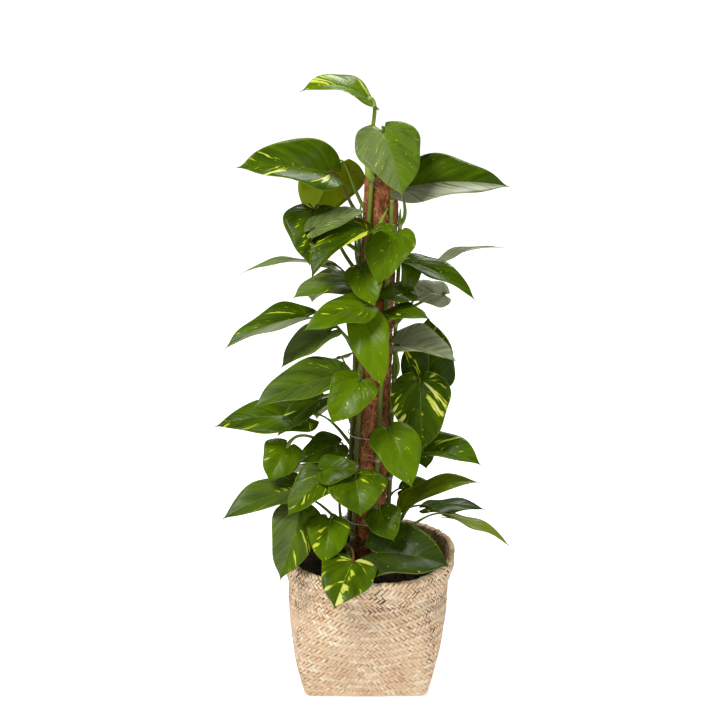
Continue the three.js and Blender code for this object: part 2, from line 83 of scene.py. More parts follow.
vines = {
    "vine_a": {"foot": -140, "tip": -120, "top": 690, "leaves": [
        leaf(655, 747, -140, 25, 95, 58, 200, -10, -90, 22, 1.3, 0.35, cream=0.45, tone=0.7, lime=0.7,
             stout=1.9, fresh=0.9),
        leaf(560, 594, -108, 48, 100, 58, 215, 30, -120, 20, 1.1, 0.7, cream=0.3, tone=0.3, lime=0.9,
             fan=(0.5, 0.95, 0.25), fresh=0.0, red=0.3),
        leaf(520, 550, -115, 50, 58, 46, -66, 45, -100, 55, fold=0.4, tone=0.6, lime=0.9),
        leaf(480, 510, -100, 73, 90, 46, 205, 15, -90, 40, fold=0.3, cream=0.3, tone=0.6, lime=0.9),
        leaf(455, 497, -105, 66, 96, 50, -60, 60, -95, 60, cream=0.15, tone=0.8),
        leaf(390, 420, -102, 86, 66, 56, 215, 48, -95, 55, fold=0.3, tone=0.6, lime=0.5),
        leaf(290, 300, -132, 92, 50, 40, -15, -5, -90, 50),
        leaf(255, 295, -105, 75, 58, 74, -80, 45, -90, 50, cream=0.08, tone=0.45, lime=0.9),
        leaf(195, 232, -129, 78, 60, 54, 258, 50, -84, 60, tone=0.6, lime=0.8),
        leaf(175, 190, -101, 95, 73, 70, -114, 35, -95, 46, cream=0.6, tone=0.45, lime=0.55, red=0.7,
             fan=(0.86, 0.55, 0.25)),
    ]},
    "vine_b": {"foot": -75, "tip": -60, "top": 640, "leaves": [
        leaf(630, 717, -93, 45, 92, 80, -65, 52, -80, 55, tone=0.6, lime=0.8, sheen=(0.25, 0.04)),
        leaf(550, 592, -63, 45, 72, 60, -126, 55, -108, 58, fold=0.4, cream=0.0, tone=0.55),
        leaf(450, 490, -78, 42, 66, 44, -32, -3, -90, 20, fold=0.3, cream=0.45, lime=0.4),
        leaf(300, 350, -72, 66, 80, 60, -56, 52, -80, 58, cream=0.25, tone=0.7, lime=0.8),
        leaf(230, 246, -79, 64, 47, 46, -58, 42, -100, 50, cream=0.15),
        leaf(175, 189, -84, 62, 102, 86, -15, 5, -90, 34, fold=0.45, cream=0.15, tone=0.12,
             sheen=(0.04, 0.02)),
    ]},
    "vine_c": {"foot": 180, "tip": 190, "top": 620, "leaves": [
        leaf(605, 662, -155, 70, 118, 70, 195, -6, -80, 44, fold=0.6, cream=0.15, lime=0.35, red=0.8,
             fan=(0.53, 0.45, 0.2)),
        leaf(560, 599, -146, 99, 74, 40, 15, -15, -90, 22, cream=0.25, tone=0.45, lime=0.9,
             sheen=(0.22, 0.22)),
        leaf(535, 616, -165, 82, 78, 72, -98, 50, -90, 60, tone=0.25, fresh=0.0, red=0.3),
        leaf(485, 528, -140, 46, 78, 52, 203, 10, -90, 22, fold=0.3, cream=0.35, tone=0.6, lime=0.3,
             sheen=(0.2, 0.05), fan=(0.85, 0.5, 0.22), fresh=0.0, red=0.3),
        leaf(440, 487, -155, 93, 114, 44, 196, 18, -80, 20, fold=0.6, cream=0.15, sheen=(0, 0.7)),
        leaf(370, 416, -129, 65, 122, 60, 200, 15, -90, 32, fold=0.5, tone=0.45, lime=1, sheen=(0.04, 0.06)),
        leaf(290, 319, -150, 47, 60, 50, 205, 18, -90, 30, fold=0.25, cream=0.25, tone=0.25),
        leaf(240, 292, -132, 76, 78, 52, 213, 36, -100, 38, fold=0.45, cream=0.35, tone=0.45, lime=0.5,
             sheen=(0.08, 0.0)),
        leaf(230, 265, -156, 98, 106, 52, 197, 17, -90, 30, fold=0.5, cream=0.35, lime=0.9,
             sheen=(0.06, 0.04)),
        leaf(195, 243, -149, 101, 96, 60, 243, 55, -80, 60, cream=0.12, tone=0.45, lime=0.7,
             sheen=(0.18, 0.03)),
    ]},
    "vine_d": {"foot": -10, "tip": -15, "top": 615, "leaves": [
        leaf(595, 646, -51, 43, 130, 64, 0, 0, -75, 44, fold=0.6, cream=0.1, tone=0.3, sheen=(0.85, 0)),
        leaf(505, 547, -8, 38, 98, 42, -20, 26, -90, 15, fold=0.5, cream=0.1, tone=0.35),
        leaf(470, 516, -40, 54, 46, 40, 195, 5, -90, 25, cream=0.1, tone=0.3),
        leaf(400, 447, -48, 40, 79, 54, -18, 10, -90, 23, fold=0.75, cream=0.1, tone=0.45, sheen=(0.9, 0.8)),
        leaf(360, 401, -20, 60, 92, 74, -85, 70, -90, 75, cream=0.35, tone=0.3, lime=0.35,
             fan=(0.45, 0.6, 0.17)),
        leaf(270, 305, -18, 66, 82, 56, -18, 6, -80, 24, 1.0, 0.7, cream=0.05),
        leaf(195, 226, -19, 46, 117, 40, -9, -24, -100, 25, 1.4, 0.45, cream=0.15, olive=0.55),
        leaf(178, 216, -6, 103, 88, 26, -18, 21, -90, 5, fold=0.45, cream=0.1, tone=0.5, sheen=(0.2, 0.2),
             fresh=0.5, olive=0.75),
        leaf(515, 548, -14, 42, 42, 30, -120, 60, -60, 70, cream=0.1, tone=0.35),
    ]},
    "vine_e": {"foot": 150, "tip": 140, "top": 625, "leaves": [
        leaf(610, 667, 165, 55, 100, 80, 140, 60, 90, 70, cream=0.0, tone=0.6, pale=0.0, fresh=0.5),
        leaf(530, 575, 120, 60, 84, 60, 110, 25, cream=0.3),
        leaf(500, 541, 176, 62, 112, 46, 184, 5, -90, -4, fold=0.3, cream=0.1, tone=0.55, sheen=(0.25, 0.2),
             fresh=0.0, red=0.3),
        leaf(420, 463, -165, 58, 80, 48, 203, 32, -90, 22, fold=0.45, tone=0.55, lime=0.8, sheen=(0.2, 0.1)),
        leaf(380, 408, 130, 70, 90, 66, 125, 35),
        leaf(350, 374, -168, 68, 74, 34, 207, 34, -90, 32, fold=0.45, cream=0.1, tone=0.2),
        leaf(325, 362, 125, 65, 85, 62, 125, 40, cream=0.45),
        leaf(300, 353, -168, 84, 120, 58, 186, 5, -90, 35, cream=0.25, tone=0.35, lime=0.8),
        leaf(270, 318, -165, 108, 54, 52, 230, 45, -90, 60, cream=0.35, tone=0.55, lime=0.5, stout=1.6,
             fresh=0.75),
        leaf(230, 270, 135, 75, 80, 60, 140, 30),
        leaf(465, 505, 125, 75, 86, 62, 125, 30, cream=0.35),
        leaf(180, 228, 120, 85, 82, 58, 125, 20, cream=0.3),
    ]},
    "vine_f": {"foot": 40, "tip": 45, "top": 560, "leaves": [
        leaf(530, 590, 90, 55, 84, 50, 85, 30, leave=0.0),
        leaf(500, 538, 13, 71, 92, 36, 10, -12, -90, -6, fold=0.38, cream=0.0, tone=0.8, pale=1.0,
             sheen=(0.9, 0.9)),
        leaf(462, 502, 8, 85, 58, 42, 190, -3, -90, 40, cream=0.0, tone=0.5, sheen=(1, 1)),
        leaf(420, 455, 92, 60, 88, 56, 92, 35, cream=0.4),
        leaf(350, 388, 5, 68, 88, 70, 90, -75, -85, 80, cream=0.3, tone=0.15, lime=1),
        leaf(335, 370, 90, 70, 82, 56, 100, 45),
        leaf(280, 309, 14, 60, 42, 42, -70, 40, -70, 50, cream=0.05, tone=0.2),
        leaf(395, 430, 62, 72, 78, 56, 62, 30, cream=0.3),
        leaf(240, 275, 78, 68, 80, 60, 80, 35, cream=0.25),
        leaf(225, 245, 22, 45, 48, 36, -15, -5, -80, 40, cream=0.4, lime=0.4),
        leaf(190, 220, 13, 76, 78, 42, -3, 2, -90, 8, fold=0.15, tone=0.22, olive=0.2),
        leaf(180, 225, 100, 75, 80, 60, 100, 25, cream=0.35),
    ]},
}


# Node helpers. A wire is one output of a node: adding or multiplying wires adds a math node.
class Wire:
    def __init__(self, socket):
        self.socket = socket
        self.tree = socket.id_data

    def __add__(self, other):
        return calc("ADD", self, other)

    def __sub__(self, other):
        return calc("SUBTRACT", self, other)

    def __rsub__(self, other):
        return calc("SUBTRACT", other, self)

    def __mul__(self, other):
        return calc("MULTIPLY", self, other)

    def __truediv__(self, other):
        return calc("DIVIDE", self, other)

    def __abs__(self):
        return calc("ABSOLUTE", self)


# Adds a node, sets or links its inputs and gives one of its outputs. A list links several wires.
def addNode(tree, kind, inputs=None, output=0, **settings):
    made = tree.nodes.new(kind)
    for key, value in settings.items():
        setattr(made, key, value)
    for key, value in (inputs or {}).items():
        for each in value if isinstance(value, list) else [value]:
            if isinstance(each, Wire):
                tree.links.new(each.socket, made.inputs[key])
            else:
                made.inputs[key].default_value = each
    return Wire(made.outputs[output])


def treeOf(*values):
    return next(value.tree for value in values if isinstance(value, Wire))


def calc(operation, *values):
    return addNode(treeOf(*values), "ShaderNodeMath", dict(enumerate(values)), operation=operation)


def blend(factor, first, second):
    tree = treeOf(factor, first, second)
    return addNode(tree, "ShaderNodeMix", {0: factor, 6: first, 7: second}, 2, data_type="RGBA")


def smoothRange(value, low, high):
    return addNode(value.tree, "ShaderNodeMapRange", {0: value, 1: low, 2: high},
                   interpolation_type="SMOOTHSTEP")


# Noise at one scale, or at a scale for each axis.
def noise(vector, scale, detail=3):
    if isinstance(scale, tuple):
        vector = addNode(vector.tree, "ShaderNodeVectorMath", {0: vector, 1: scale}, operation="MULTIPLY")
        scale = 1.0
    return addNode(vector.tree, "ShaderNodeTexNoise", {"Vector": vector, "Scale": scale, "Detail": detail})


def vectorOf(x, y, z):
    return addNode(treeOf(x, y, z), "ShaderNodeCombineXYZ", {0: x, 1: y, 2: z})


def parts(vector):
    split = addNode(vector.tree, "ShaderNodeSeparateXYZ", {0: vector})
    return [Wire(output) for output in split.socket.node.outputs]


def readVector(tree, name):
    return addNode(tree, "ShaderNodeAttribute", output="Vector", attribute_name=name)


def readNumber(tree, name):
    return addNode(tree, "ShaderNodeAttribute", output="Fac", attribute_name=name)


def objectPlace(tree):
    return addNode(tree, "ShaderNodeTexCoord", output="Object")


def newMaterial(name, **finish):
    material = bpy.data.materials.new(name)
    material.use_nodes = True
    shader = material.node_tree.nodes["Principled BSDF"]
    labels = {"rough": "Roughness", "shine": "Specular IOR Level", "metal": "Metallic",
              "colour": "Base Color", "glow": "Emission Color"}
    for key, value in finish.items():
        shader.inputs[labels[key]].default_value = value
    return material, material.node_tree, shader


# Wires a colour, and a fine relief where there is one, to the material's shader.
def paint(shader, colour, relief=None, strength=0.0, distance=0.0):
    colour.tree.links.new(colour.socket, shader.inputs["Base Color"])
    if relief is not None:
        bump = addNode(colour.tree, "ShaderNodeBump", {
            "Height": relief, "Strength": strength, "Distance": distance})
        colour.tree.links.new(bump.socket, shader.inputs["Normal"])


# A material of two colours, mixed by noise.
def mottledMaterial(name, rough, scale, detail, first, second):
    material, tree, shader = newMaterial(name, rough=rough)
    paint(shader, blend(noise(objectPlace(tree), scale, detail), first, second))
    return material


# Mesh helpers.
def addObject(name, data):
    made = bpy.data.objects.new(name, data)
    bpy.context.scene.collection.objects.link(made)
    return made


def newMesh(name, points, faces, numbers=None, vectors=None):
    mesh = bpy.data.meshes.new(name)
    mesh.from_pydata(np.asarray(points, float).tolist(), [], faces)
    for label, values in (numbers or {}).items():
        layer = mesh.attributes.new(label, "FLOAT", "POINT")
        layer.data.foreach_set("value", np.asarray(values, float).ravel())
    for label, values in (vectors or {}).items():
        layer = mesh.attributes.new(label, "FLOAT_VECTOR", "POINT")
        layer.data.foreach_set("vector", np.asarray(values, float).ravel())
    return mesh


def closedPiece(mesh):
    made = bmesh.new()
    made.from_mesh(mesh)
    bmesh.ops.remove_doubles(made, verts=made.verts, dist=1e-7)
    bmesh.ops.recalc_face_normals(made, faces=made.faces)
    made.to_mesh(mesh)
    made.free()
    mesh.shade_smooth()
    return addObject(mesh.name, mesh)


def finishPiece(piece, material, node):
    piece.data.materials.clear()
    piece.data.materials.append(material)
    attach(piece, "root")
    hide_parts(node)


def roundTurns(count):
    return 2 * np.pi * np.arange(count) / count


# Faces between rings of the same number of points, joined into a loop or with a cap at each end.
def ringFaces(rings, sides, start=0, loop=False):
    faces = []
    for ring in range(rings if loop else rings - 1):
        here = start + ring * sides
        ahead = start + (ring + 1) % rings * sides
        for side in range(sides):
            after = (side + 1) % sides
            faces.append((here + side, here + after, ahead + after, ahead + side))
    if not loop:
        faces.append(tuple(start + side for side in reversed(range(sides))))
        faces.append(tuple(start + (rings - 1) * sides + side for side in range(sides)))
    return faces


def gridFaces(rows, columns):
    return [(here, here + 1, here + columns + 1, here + columns) for row in range(rows - 1)
            for here in range(row * columns, (row + 1) * columns - 1)]


# Quads of an upper face, an under face and the rim between them, with the first row's rim if closed.
def slabFaces(rows, columns, closed=False):
    count = rows * columns
    faces = []
    for first in range(0, count - columns, columns):
        for here in range(first, first + columns - 1):
            faces.append((here, here + 1, here + columns + 1, here + columns))
            faces.append((here + count, here + columns + count, here + columns + 1 + count, here + 1 + count))
        for here in (first, first + columns - 1):
            faces.append((here, here + columns, here + columns + count, here + count))
    for here in range(count - columns, count - 1):
        faces.append((here, here + 1, here + 1 + count, here + count))
    for here in range(columns - 1 if closed else 0):
        faces.append((here + 1, here, here + count, here + 1 + count))
    return faces


# Rings round a path, with a radius at each of its points and no twist.
def tubePoints(path, radii, sides):
    path = np.asarray(path, float)
    ahead = np.gradient(path, axis=0)
    ahead /= np.linalg.norm(ahead, axis=1)[:, None]
    side = np.cross(ahead[0], (0.31, 0.22, 0.93))
    turns = roundTurns(sides)
    rings = []
    for place, forward, radius in zip(path, ahead, radii):
        side = side - forward * side.dot(forward)
        side /= np.linalg.norm(side)
        other = np.cross(forward, side)
        rings.append(place + radius * (np.cos(turns)[:, None] * side + np.sin(turns)[:, None] * other))
    return np.concatenate(rings)


# Points and faces of several tubes, each given as its path, its radii and how many sides it has.
def tubeParts(tubes, start=0):
    points, faces = [], []
    for path, radii, sides in tubes:
        points.append(tubePoints(path, radii, sides))
        faces += ringFaces(len(path), sides, start)
        start += len(path) * sides
    return points, faces


# Geometry node helpers. The tree's inputs are its mesh and the named sizes.
def geometryTree(name, sizes):
    tree = bpy.data.node_groups.new(name, "GeometryNodeTree")
    kinds = {int: "Int", float: "Float", bpy.types.Object: "Object", bpy.types.Material: "Material"}
    sockets = [("Geometry", "INPUT", "Geometry"), ("Geometry", "OUTPUT", "Geometry")]
    sockets += [(label, "INPUT", kinds[type(value)]) for label, value in sizes.items()]
    for label, way, kind in sockets:
        tree.interface.new_socket(label, in_out=way, socket_type="NodeSocket" + kind)
    return tree, {output.name: Wire(output) for output in tree.nodes.new("NodeGroupInput").outputs}


def endTree(geometry, material):
    tree = geometry.tree
    real = addNode(tree, "GeometryNodeRealizeInstances", {0: geometry})
    made = addNode(tree, "GeometryNodeSetMaterial", {"Geometry": real, "Material": material})
    tree.links.new(made.socket, tree.nodes.new("NodeGroupOutput").inputs[0])
    return tree


# Runs a node tree on a mesh and keeps the outcome as a plain mesh.
def grow(name, mesh, tree, sizes):
    source = addObject(name, mesh)
    modifier = source.modifiers.new("grow", "NODES")
    modifier.node_group = tree
    for item in tree.interface.items_tree:
        if item.in_out == "INPUT" and item.name in sizes:
            modifier[item.identifier] = sizes[item.name]
    grown = settled(source)
    grown.shade_smooth()
    return addObject(name, grown)


# The mesh that an object's modifiers make. The object itself is removed.
def settled(source):
    name = source.name
    depsgraph = bpy.context.evaluated_depsgraph_get()
    mesh = bpy.data.meshes.new_from_object(source.evaluated_get(depsgraph), depsgraph=depsgraph)
    bpy.data.objects.remove(source)
    mesh.name = name
    return mesh


# A random number for each element, or for each value of what it goes by.
def draw(tree, low, high, seed, by=None):
    inputs = {2: low, 3: high, "Seed": seed}
    if by is not None:
        inputs["ID"] = by
    return addNode(tree, "FunctionNodeRandomValue", inputs, 1, data_type="FLOAT")


def spin(angle):
    return addNode(angle.tree, "FunctionNodeEulerToRotation", {0: vectorOf(0.0, 0.0, angle)})


def spotsOn(ground, given):
    return addNode(ground.tree, "GeometryNodeDistributePointsOnFaces", {
        "Mesh": ground, "Density": given["Density"], "Seed": given["Seed"]})


# Puts the shape on each point, turned and scaled, and keeps a shade for its material.
def scatter(points, shape, turn, scale, shade):
    placed = addNode(points.tree, "GeometryNodeInstanceOnPoints", {
        "Points": points, "Instance": shape, "Rotation": turn, "Scale": scale})
    return addNode(points.tree, "GeometryNodeStoreNamedAttribute", {
        "Geometry": placed, "Name": "shade", "Value": shade}, data_type="FLOAT", domain="INSTANCE")


# Wraps a flat layout onto the guide sheet: x runs round, y runs up, z stands out.
def wrapOnto(flat, given):
    tree = flat.tree
    flat = addNode(tree, "GeometryNodeRealizeInstances", {0: flat})
    sheet = addNode(tree, "GeometryNodeObjectInfo", {0: given["Guide"]}, "Geometry")
    x, y, proud = parts(addNode(tree, "GeometryNodeInputPosition"))
    upward = calc("MAXIMUM", 0.001, calc("MINIMUM", 0.999, y / given["Height"]))
    place = vectorOf(calc("FRACT", x / given["Width"]), upward, 0.0)
    found = []
    for label in ("spot", "out"):
        value, grid = [addNode(tree, "GeometryNodeInputNamedAttribute", {0: each}, data_type="FLOAT_VECTOR")
                       for each in (label, "sheet")]
        found.append(addNode(tree, "GeometryNodeSampleUVSurface", {
            "Mesh": sheet, "Value": value, "UV Map": grid, "Sample UV": place}, data_type="FLOAT_VECTOR"))
    lift = addNode(tree, "ShaderNodeVectorMath", {0: found[1], "Scale": proud}, operation="SCALE")
    final = addNode(tree, "ShaderNodeVectorMath", {0: found[0], 1: lift}, operation="ADD")
    moved = addNode(tree, "GeometryNodeSetPosition", {"Geometry": flat, "Position": final})
    return endTree(moved, given["Material"])


# An open sheet with its own flat places and outward directions, for shapes to be wrapped onto.
def guideSheet(name, spots):
    rows, columns = spots.shape[:2]
    steps = np.linalg.norm(np.diff(spots, axis=0), axis=2).mean(axis=1)
    length = np.concatenate([[0], np.cumsum(steps)])
    sheet = np.zeros((rows, columns, 3))
    sheet[:, :, 0] = np.linspace(0, 1, columns)[None, :]
    sheet[:, :, 1] = (length / length[-1])[:, None]
    ring = np.concatenate([spots[:, -2:-1], spots, spots[:, 1:2]], axis=1)
    out = np.cross((ring[:, 2:] - ring[:, :-2]), np.gradient(spots, axis=0))
    out /= np.linalg.norm(out, axis=2)[:, :, None]
    flat = spots.reshape(-1, 3)
    mesh = newMesh(name, flat, gridFaces(rows, columns), vectors={"sheet": sheet, "spot": flat, "out": out})
    return addObject(name, mesh), float(length[-1])


# Plant materials. The leaves' patterns follow the blade's own places, in millimetres.
foliageLook = {
    "deep": (0.020, 0.042, 0.0008, 1), "bright": (0.115, 0.205, 0.0015, 1), "vein": (0.19, 0.29, 0.012, 1),
    "limeStreak": (0.56, 0.64, 0.02, 1), "creamStreak": (0.86, 0.84, 0.40, 1), "sheen": (0.36, 0.37, 0.25, 1),
    "underDeep": (0.17, 0.215, 0.001, 1), "underPale": (0.26, 0.28, 0.12, 1),
    "streakLevel": 0.885, "streakSway": 10, "fanRows": 0.13, "fanSides": 0.55,
}
stemLook = {"deep": (0.025, 0.042, 0.004, 1), "bright": (0.066, 0.105, 0.01, 1),
            "fresh": (0.30, 0.42, 0.05, 1), "red": (0.15, 0.05, 0.022, 1), "aged": (0.19, 0.095, 0.04, 1),
            "scar": (0.55, 0.50, 0.30, 1)}


def makeFoliage():
    look = foliageLook
    material, tree, shader = newMaterial("leafGreen", rough=0.26, shine=0.09)
    row, side, _ = parts(readVector(tree, "grid"))
    flow = readVector(tree, "flow")
    cream, bright, lime = parts(readVector(tree, "look"))
    fanRow, fanSide, fanStrength = parts(readVector(tree, "fan"))
    bands = noise(flow, (0.3, 0.03, 1), 2)
    # Each leaf's tone sets how dark its green is: the leaf's own green, partly painted shade and light set
    # per leaf.
    tone = bright + (noise(flow, (0.06, 0.05, 1), 4) * 0.9 + bands * 0.35 - 0.62)
    green = blend(smoothRange(tone, 0, 1), look["deep"], look["bright"])
    # Pale streaks run along the veins, thicken in patches and gather in the fan.
    sway = noise(flow, (0.04, 0.07, 1), 2) * look["streakSway"]
    bent = addNode(tree, "ShaderNodeVectorMath", {0: flow, 1: vectorOf(sway, 0.0, 0.0)})
    patch = noise(flow, (0.03, 0.045, 1), 1)
    amount = noise(bent, (0.13, 0.035, 1), 2) * 0.4 + noise(bent, (0.36, 0.05, 1)) * 0.45 + patch * 0.5
    offRow = calc("POWER", (row - fanRow) / look["fanRows"], 2.0)
    offSide = calc("POWER", (side - fanSide) / look["fanSides"], 2.0)
    amount = amount + smoothRange(offRow + offSide, 1.0, 0.2) * fanStrength
    above = amount - (look["streakLevel"] - cream * 0.285)
    streaks = smoothRange(above, 0, 0.03) * 0.92
    flecks = smoothRange(noise(bent, (0.5, 0.3, 1), 1), 0.7, 0.75) * 0.75 * smoothRange(patch, 0.42, 0.6)
    pale = blend(smoothRange(above, 0.02, 0.08), look["limeStreak"], look["creamStreak"])
    pale = blend(lime, pale, look["limeStreak"])
    painted = blend(calc("MAXIMUM", streaks, flecks), green, pale)
    # Painted reflection: grey gloss painted in stripes on each half of the blade, as much as its sheen share.
    paintedGloss = readNumber(tree, "sheen") * smoothRange(bands, 0.1, 0.66)
    painted = blend(paintedGloss, painted, look["sheen"])
    across = abs(side)
    wave = abs(calc("COSINE", row * (math.pi * bladeShape["veins"])))
    vein = (1 - smoothRange(wave, 0, 0.12)) * 0.14
    midrib = (1 - smoothRange(across, 0.008, 0.03)) * 0.45
    margin = smoothRange(across, 0.95, 0.985) * 0.5
    lines = calc("MAXIMUM", margin, calc("MAXIMUM", vein, midrib))
    painted = blend(lines, painted, look["vein"])
    under = readNumber(tree, "under")
    below = blend(under * 2 - 1, look["underDeep"], look["underPale"])
    final = blend(smoothRange(under, 0.1, 0.4) * 0.85, painted, below)
    relief = noise(flow, (0.33, 0.05, 1), 2) * 0.7 + noise(objectPlace(tree), 420) * 0.3
    paint(shader, final, relief, 0.5, 0.0008)
    return material


def makeStemGreen():
    material, tree, shader = newMaterial("stemGreen", rough=0.42, shine=0.15)
    age, red, fresh = parts(readVector(tree, "tint"))
    spots = noise(objectPlace(tree), (90, 90, 22), 4)
    colour = blend(smoothRange(spots, 0.3, 0.7), stemLook["deep"], stemLook["bright"])
    for amount, over in ((fresh, "fresh"), (red, "red"), (age, "aged"), (readNumber(tree, "ring"), "scar")):
        colour = blend(amount, colour, stemLook[over])
    paint(shader, colour, spots, 0.3, 0.0008)
    return material


# Leafy stems.
def poleAxis(height):
    return poleShape["atSoil"] + (height - poleShape["soil"]) * math.tan(math.radians(poleShape["lean"]))


def axisPoint(height):
    return np.array((poleAxis(height), 0, height))


def direction(bearing, dip):
    bearing, dip = math.radians(bearing), math.radians(dip)
    return np.array((math.cos(dip) * math.cos(bearing), math.cos(dip) * math.sin(bearing), -math.sin(dip)))


def unit(vector):
    return vector / np.linalg.norm(vector, axis=-1, keepdims=True)


def stemPoint(vine, height):
    rise = min(1, max(0, (height - stemShape["easeTo"]) / (vine["top"] - stemShape["easeTo"])))
    ease = min(1, max(0, (height - stemShape["easeFrom"]) / (stemShape["easeTo"] - stemShape["easeFrom"])))
    away = 1 - ease * ease * (3 - 2 * ease)
    radius = stemShape["round"] + (stemShape["spread"] - stemShape["round"]) * away
    return axisPoint(height) + radius * direction(vine["foot"] + (vine["tip"] - vine["foot"]) * rise, 0)


# The blade's directions: along the midrib, out of the upper face and across.
def bladeAxes(entry):
    along = direction(entry["heading"], entry["dip"])
    face = direction(entry["facing"], entry["tilt"] - 90)
    face = unit(face - along * face.dot(along))
    return along, face, np.cross(face, along)


def bladeStart(entry):
    return axisPoint(entry["height"]) + direction(entry["bearing"], 0) * entry["reach"]


# Half the heart-shaped outline: turn 0 is the tip, turn 1 the notch at the stalk.
def heartEdge(turn):
    angle = np.pi * turn
    along = 0.385 + 0.52 * np.cos(angle) + 0.095 * np.exp(-3.2 * angle)
    drawnOut = 1 - bladeShape["tip"] * np.exp(-(angle / bladeShape["tipReach"]) ** 2)
    return along, np.sin(angle - bladeShape["taper"] * np.sin(angle)) * drawnOut


# Places on the blade's middle surface, from flat places along and across the midrib.
def bladePoint(entry, axes, along, across):
    bend, length, half = entry["curl"], entry["length"], entry["width"] / 2
    turn = bend * along / length - bend / 2
    forward = length / bend * (np.sin(turn) + math.sin(bend / 2))
    height = length / bend * (np.cos(turn) - math.cos(bend / 2))
    side = across / half
    phase = bladeShape["ripples"] * along / length + np.sign(across) + entry["node"]
    lift = entry["fold"] * np.hypot(across, 2) - bladeShape["droop"] * entry["width"] * side ** 2
    lift = lift + bladeShape["wave"] * length * np.sin(phase) * side ** 2
    return (bladeStart(entry) + (forward + lift * np.sin(turn))[..., None] * axes[0]
            + (height + lift * np.cos(turn))[..., None] * axes[1] + across[..., None] * axes[2])


def bladeNormal(entry, axes, along, across):
    step = 0.5
    ahead = bladePoint(entry, axes, along + step, across) - bladePoint(entry, axes, along - step, across)
    aside = bladePoint(entry, axes, along, across + step) - bladePoint(entry, axes, along, across - step)
    return unit(np.cross(ahead, aside))


def makeBlade(entry, seed):
    rows, columns = bladeShape["rows"], bladeShape["columns"]
    turn = (bladeShape["lastTurn"] * np.linspace(0, 1, rows) ** 1.1)[:, None]
    share = np.linspace(-1, 1, 2 * columns + 1)[None, :]
    share = np.sign(share) * np.abs(share) ** bladeShape["toMidrib"]
    turn, share = np.broadcast_arrays(turn, share)
    edgeAlong, edgeAcross = heartEdge(turn)
    midrib = np.maximum(0, edgeAlong - bladeShape["veinSlant"] * edgeAcross)
    along = (midrib + (edgeAlong - midrib) * np.abs(share) ** bladeShape["veinBow"]) * entry["length"]
    uneven = 1 + bladeShape["uneven"] * np.sin(5 * np.pi * turn + entry["node"] + 2 * np.sign(share))
    across = edgeAcross * share * uneven * entry["width"] / 2
    axes = bladeAxes(entry)
    middle = bladePoint(entry, axes, along, across)
    out = bladeNormal(entry, axes, along, across)
    window = 2 * np.sqrt(np.abs(share) * (1 - np.abs(share)))
    quilt = bladeShape["relief"] * window * (np.abs(np.cos(np.pi * bladeShape["veins"] * turn)) ** 0.6 - 0.5)
    rib = np.exp(-(across / bladeShape["ribWidth"]) ** 2) * np.clip(1.1 - along / entry["length"], 0, 1)
    half = bladeShape["thickness"] / 2 * (1 - 0.6 * np.abs(share) ** 6)
    top = middle + (quilt + half - bladeShape["groove"] * rib)[..., None] * out
    bottom = middle + (quilt - half - bladeShape["ridge"] * rib)[..., None] * out
    points = np.concatenate([top.reshape(-1, 3), bottom.reshape(-1, 3)])
    # Each blade and each half of it gets its own piece of the pattern.
    apart = seed * 7.3 + 3.1 * np.sign(across)
    flow = np.stack([1.4 * entry["length"] * turn, np.abs(across), apart], axis=-1)
    grid = np.stack([turn, share, 0 * turn], axis=-1)
    vectors = {"grid": np.tile(grid.reshape(-1, 3), (2, 1)), "flow": np.tile(flow.reshape(-1, 3), (2, 1)),
               "look": np.tile((entry["cream"], entry["tone"], entry["lime"]), (len(points), 1)),
               "fan": np.tile(entry["fan"], (len(points), 1))}
    under = np.repeat((0.4 * entry["olive"], 0.5 + 0.5 * entry["pale"]), len(points) // 2)
    sheen = np.where(share < 0, *entry["sheen"]).ravel()
    return points, slabFaces(rows, 2 * columns + 1), vectors, {"under": under, "sheen": np.tile(sheen, 2)}


# Stems, stalks, roots and shoots are each a path, its radii, a tint of age, red and fresh, and its scars.
def makeStalk(vine, entry):
    start, end = stemPoint(vine, entry["node"]), bladeStart(entry)
    axes = bladeAxes(entry)
    span = np.linalg.norm(end - start)
    outward = unit(start * (1, 1, 0) - axisPoint(entry["node"]) * (1, 0, 0))
    leaving = start + outward * span * stalkShape["leaving"] * entry["leave"]
    leaving[2] += span * stalkShape["leaving"]
    arriving = end - axes[0] * span * stalkShape["arriving"] + np.array((0, 0, span * stalkShape["arch"]))
    last = bladePoint(entry, axes, np.array(float(stalkShape["tuck"])), np.array(0.0))
    step = np.linspace(0, 1, stalkShape["steps"])[:, None]
    path = ((1 - step) ** 3 * start + 3 * (1 - step) ** 2 * step * leaving
            + 3 * (1 - step) * step ** 2 * arriving + step ** 3 * last)
    step = step[:, 0]
    sheath = np.clip(1 - step / stalkShape["sheathEnd"], 0, 1) ** 0.7
    joint = np.exp(-((step - stalkShape["jointAt"]) / 0.05) ** 2)
    radii = stalkShape["middle"] + (stalkShape["sheath"] - stalkShape["middle"]) * sheath
    radii = (radii + (stalkShape["joint"] - stalkShape["middle"]) * joint) * entry["stout"]
    fresh = np.clip(entry["fresh"] + 0.4 * sheath, 0, 1)
    return path, radii, np.stack([0.12 * joint, entry["red"] * (1 - 0.6 * sheath), fresh], axis=1), 0 * step


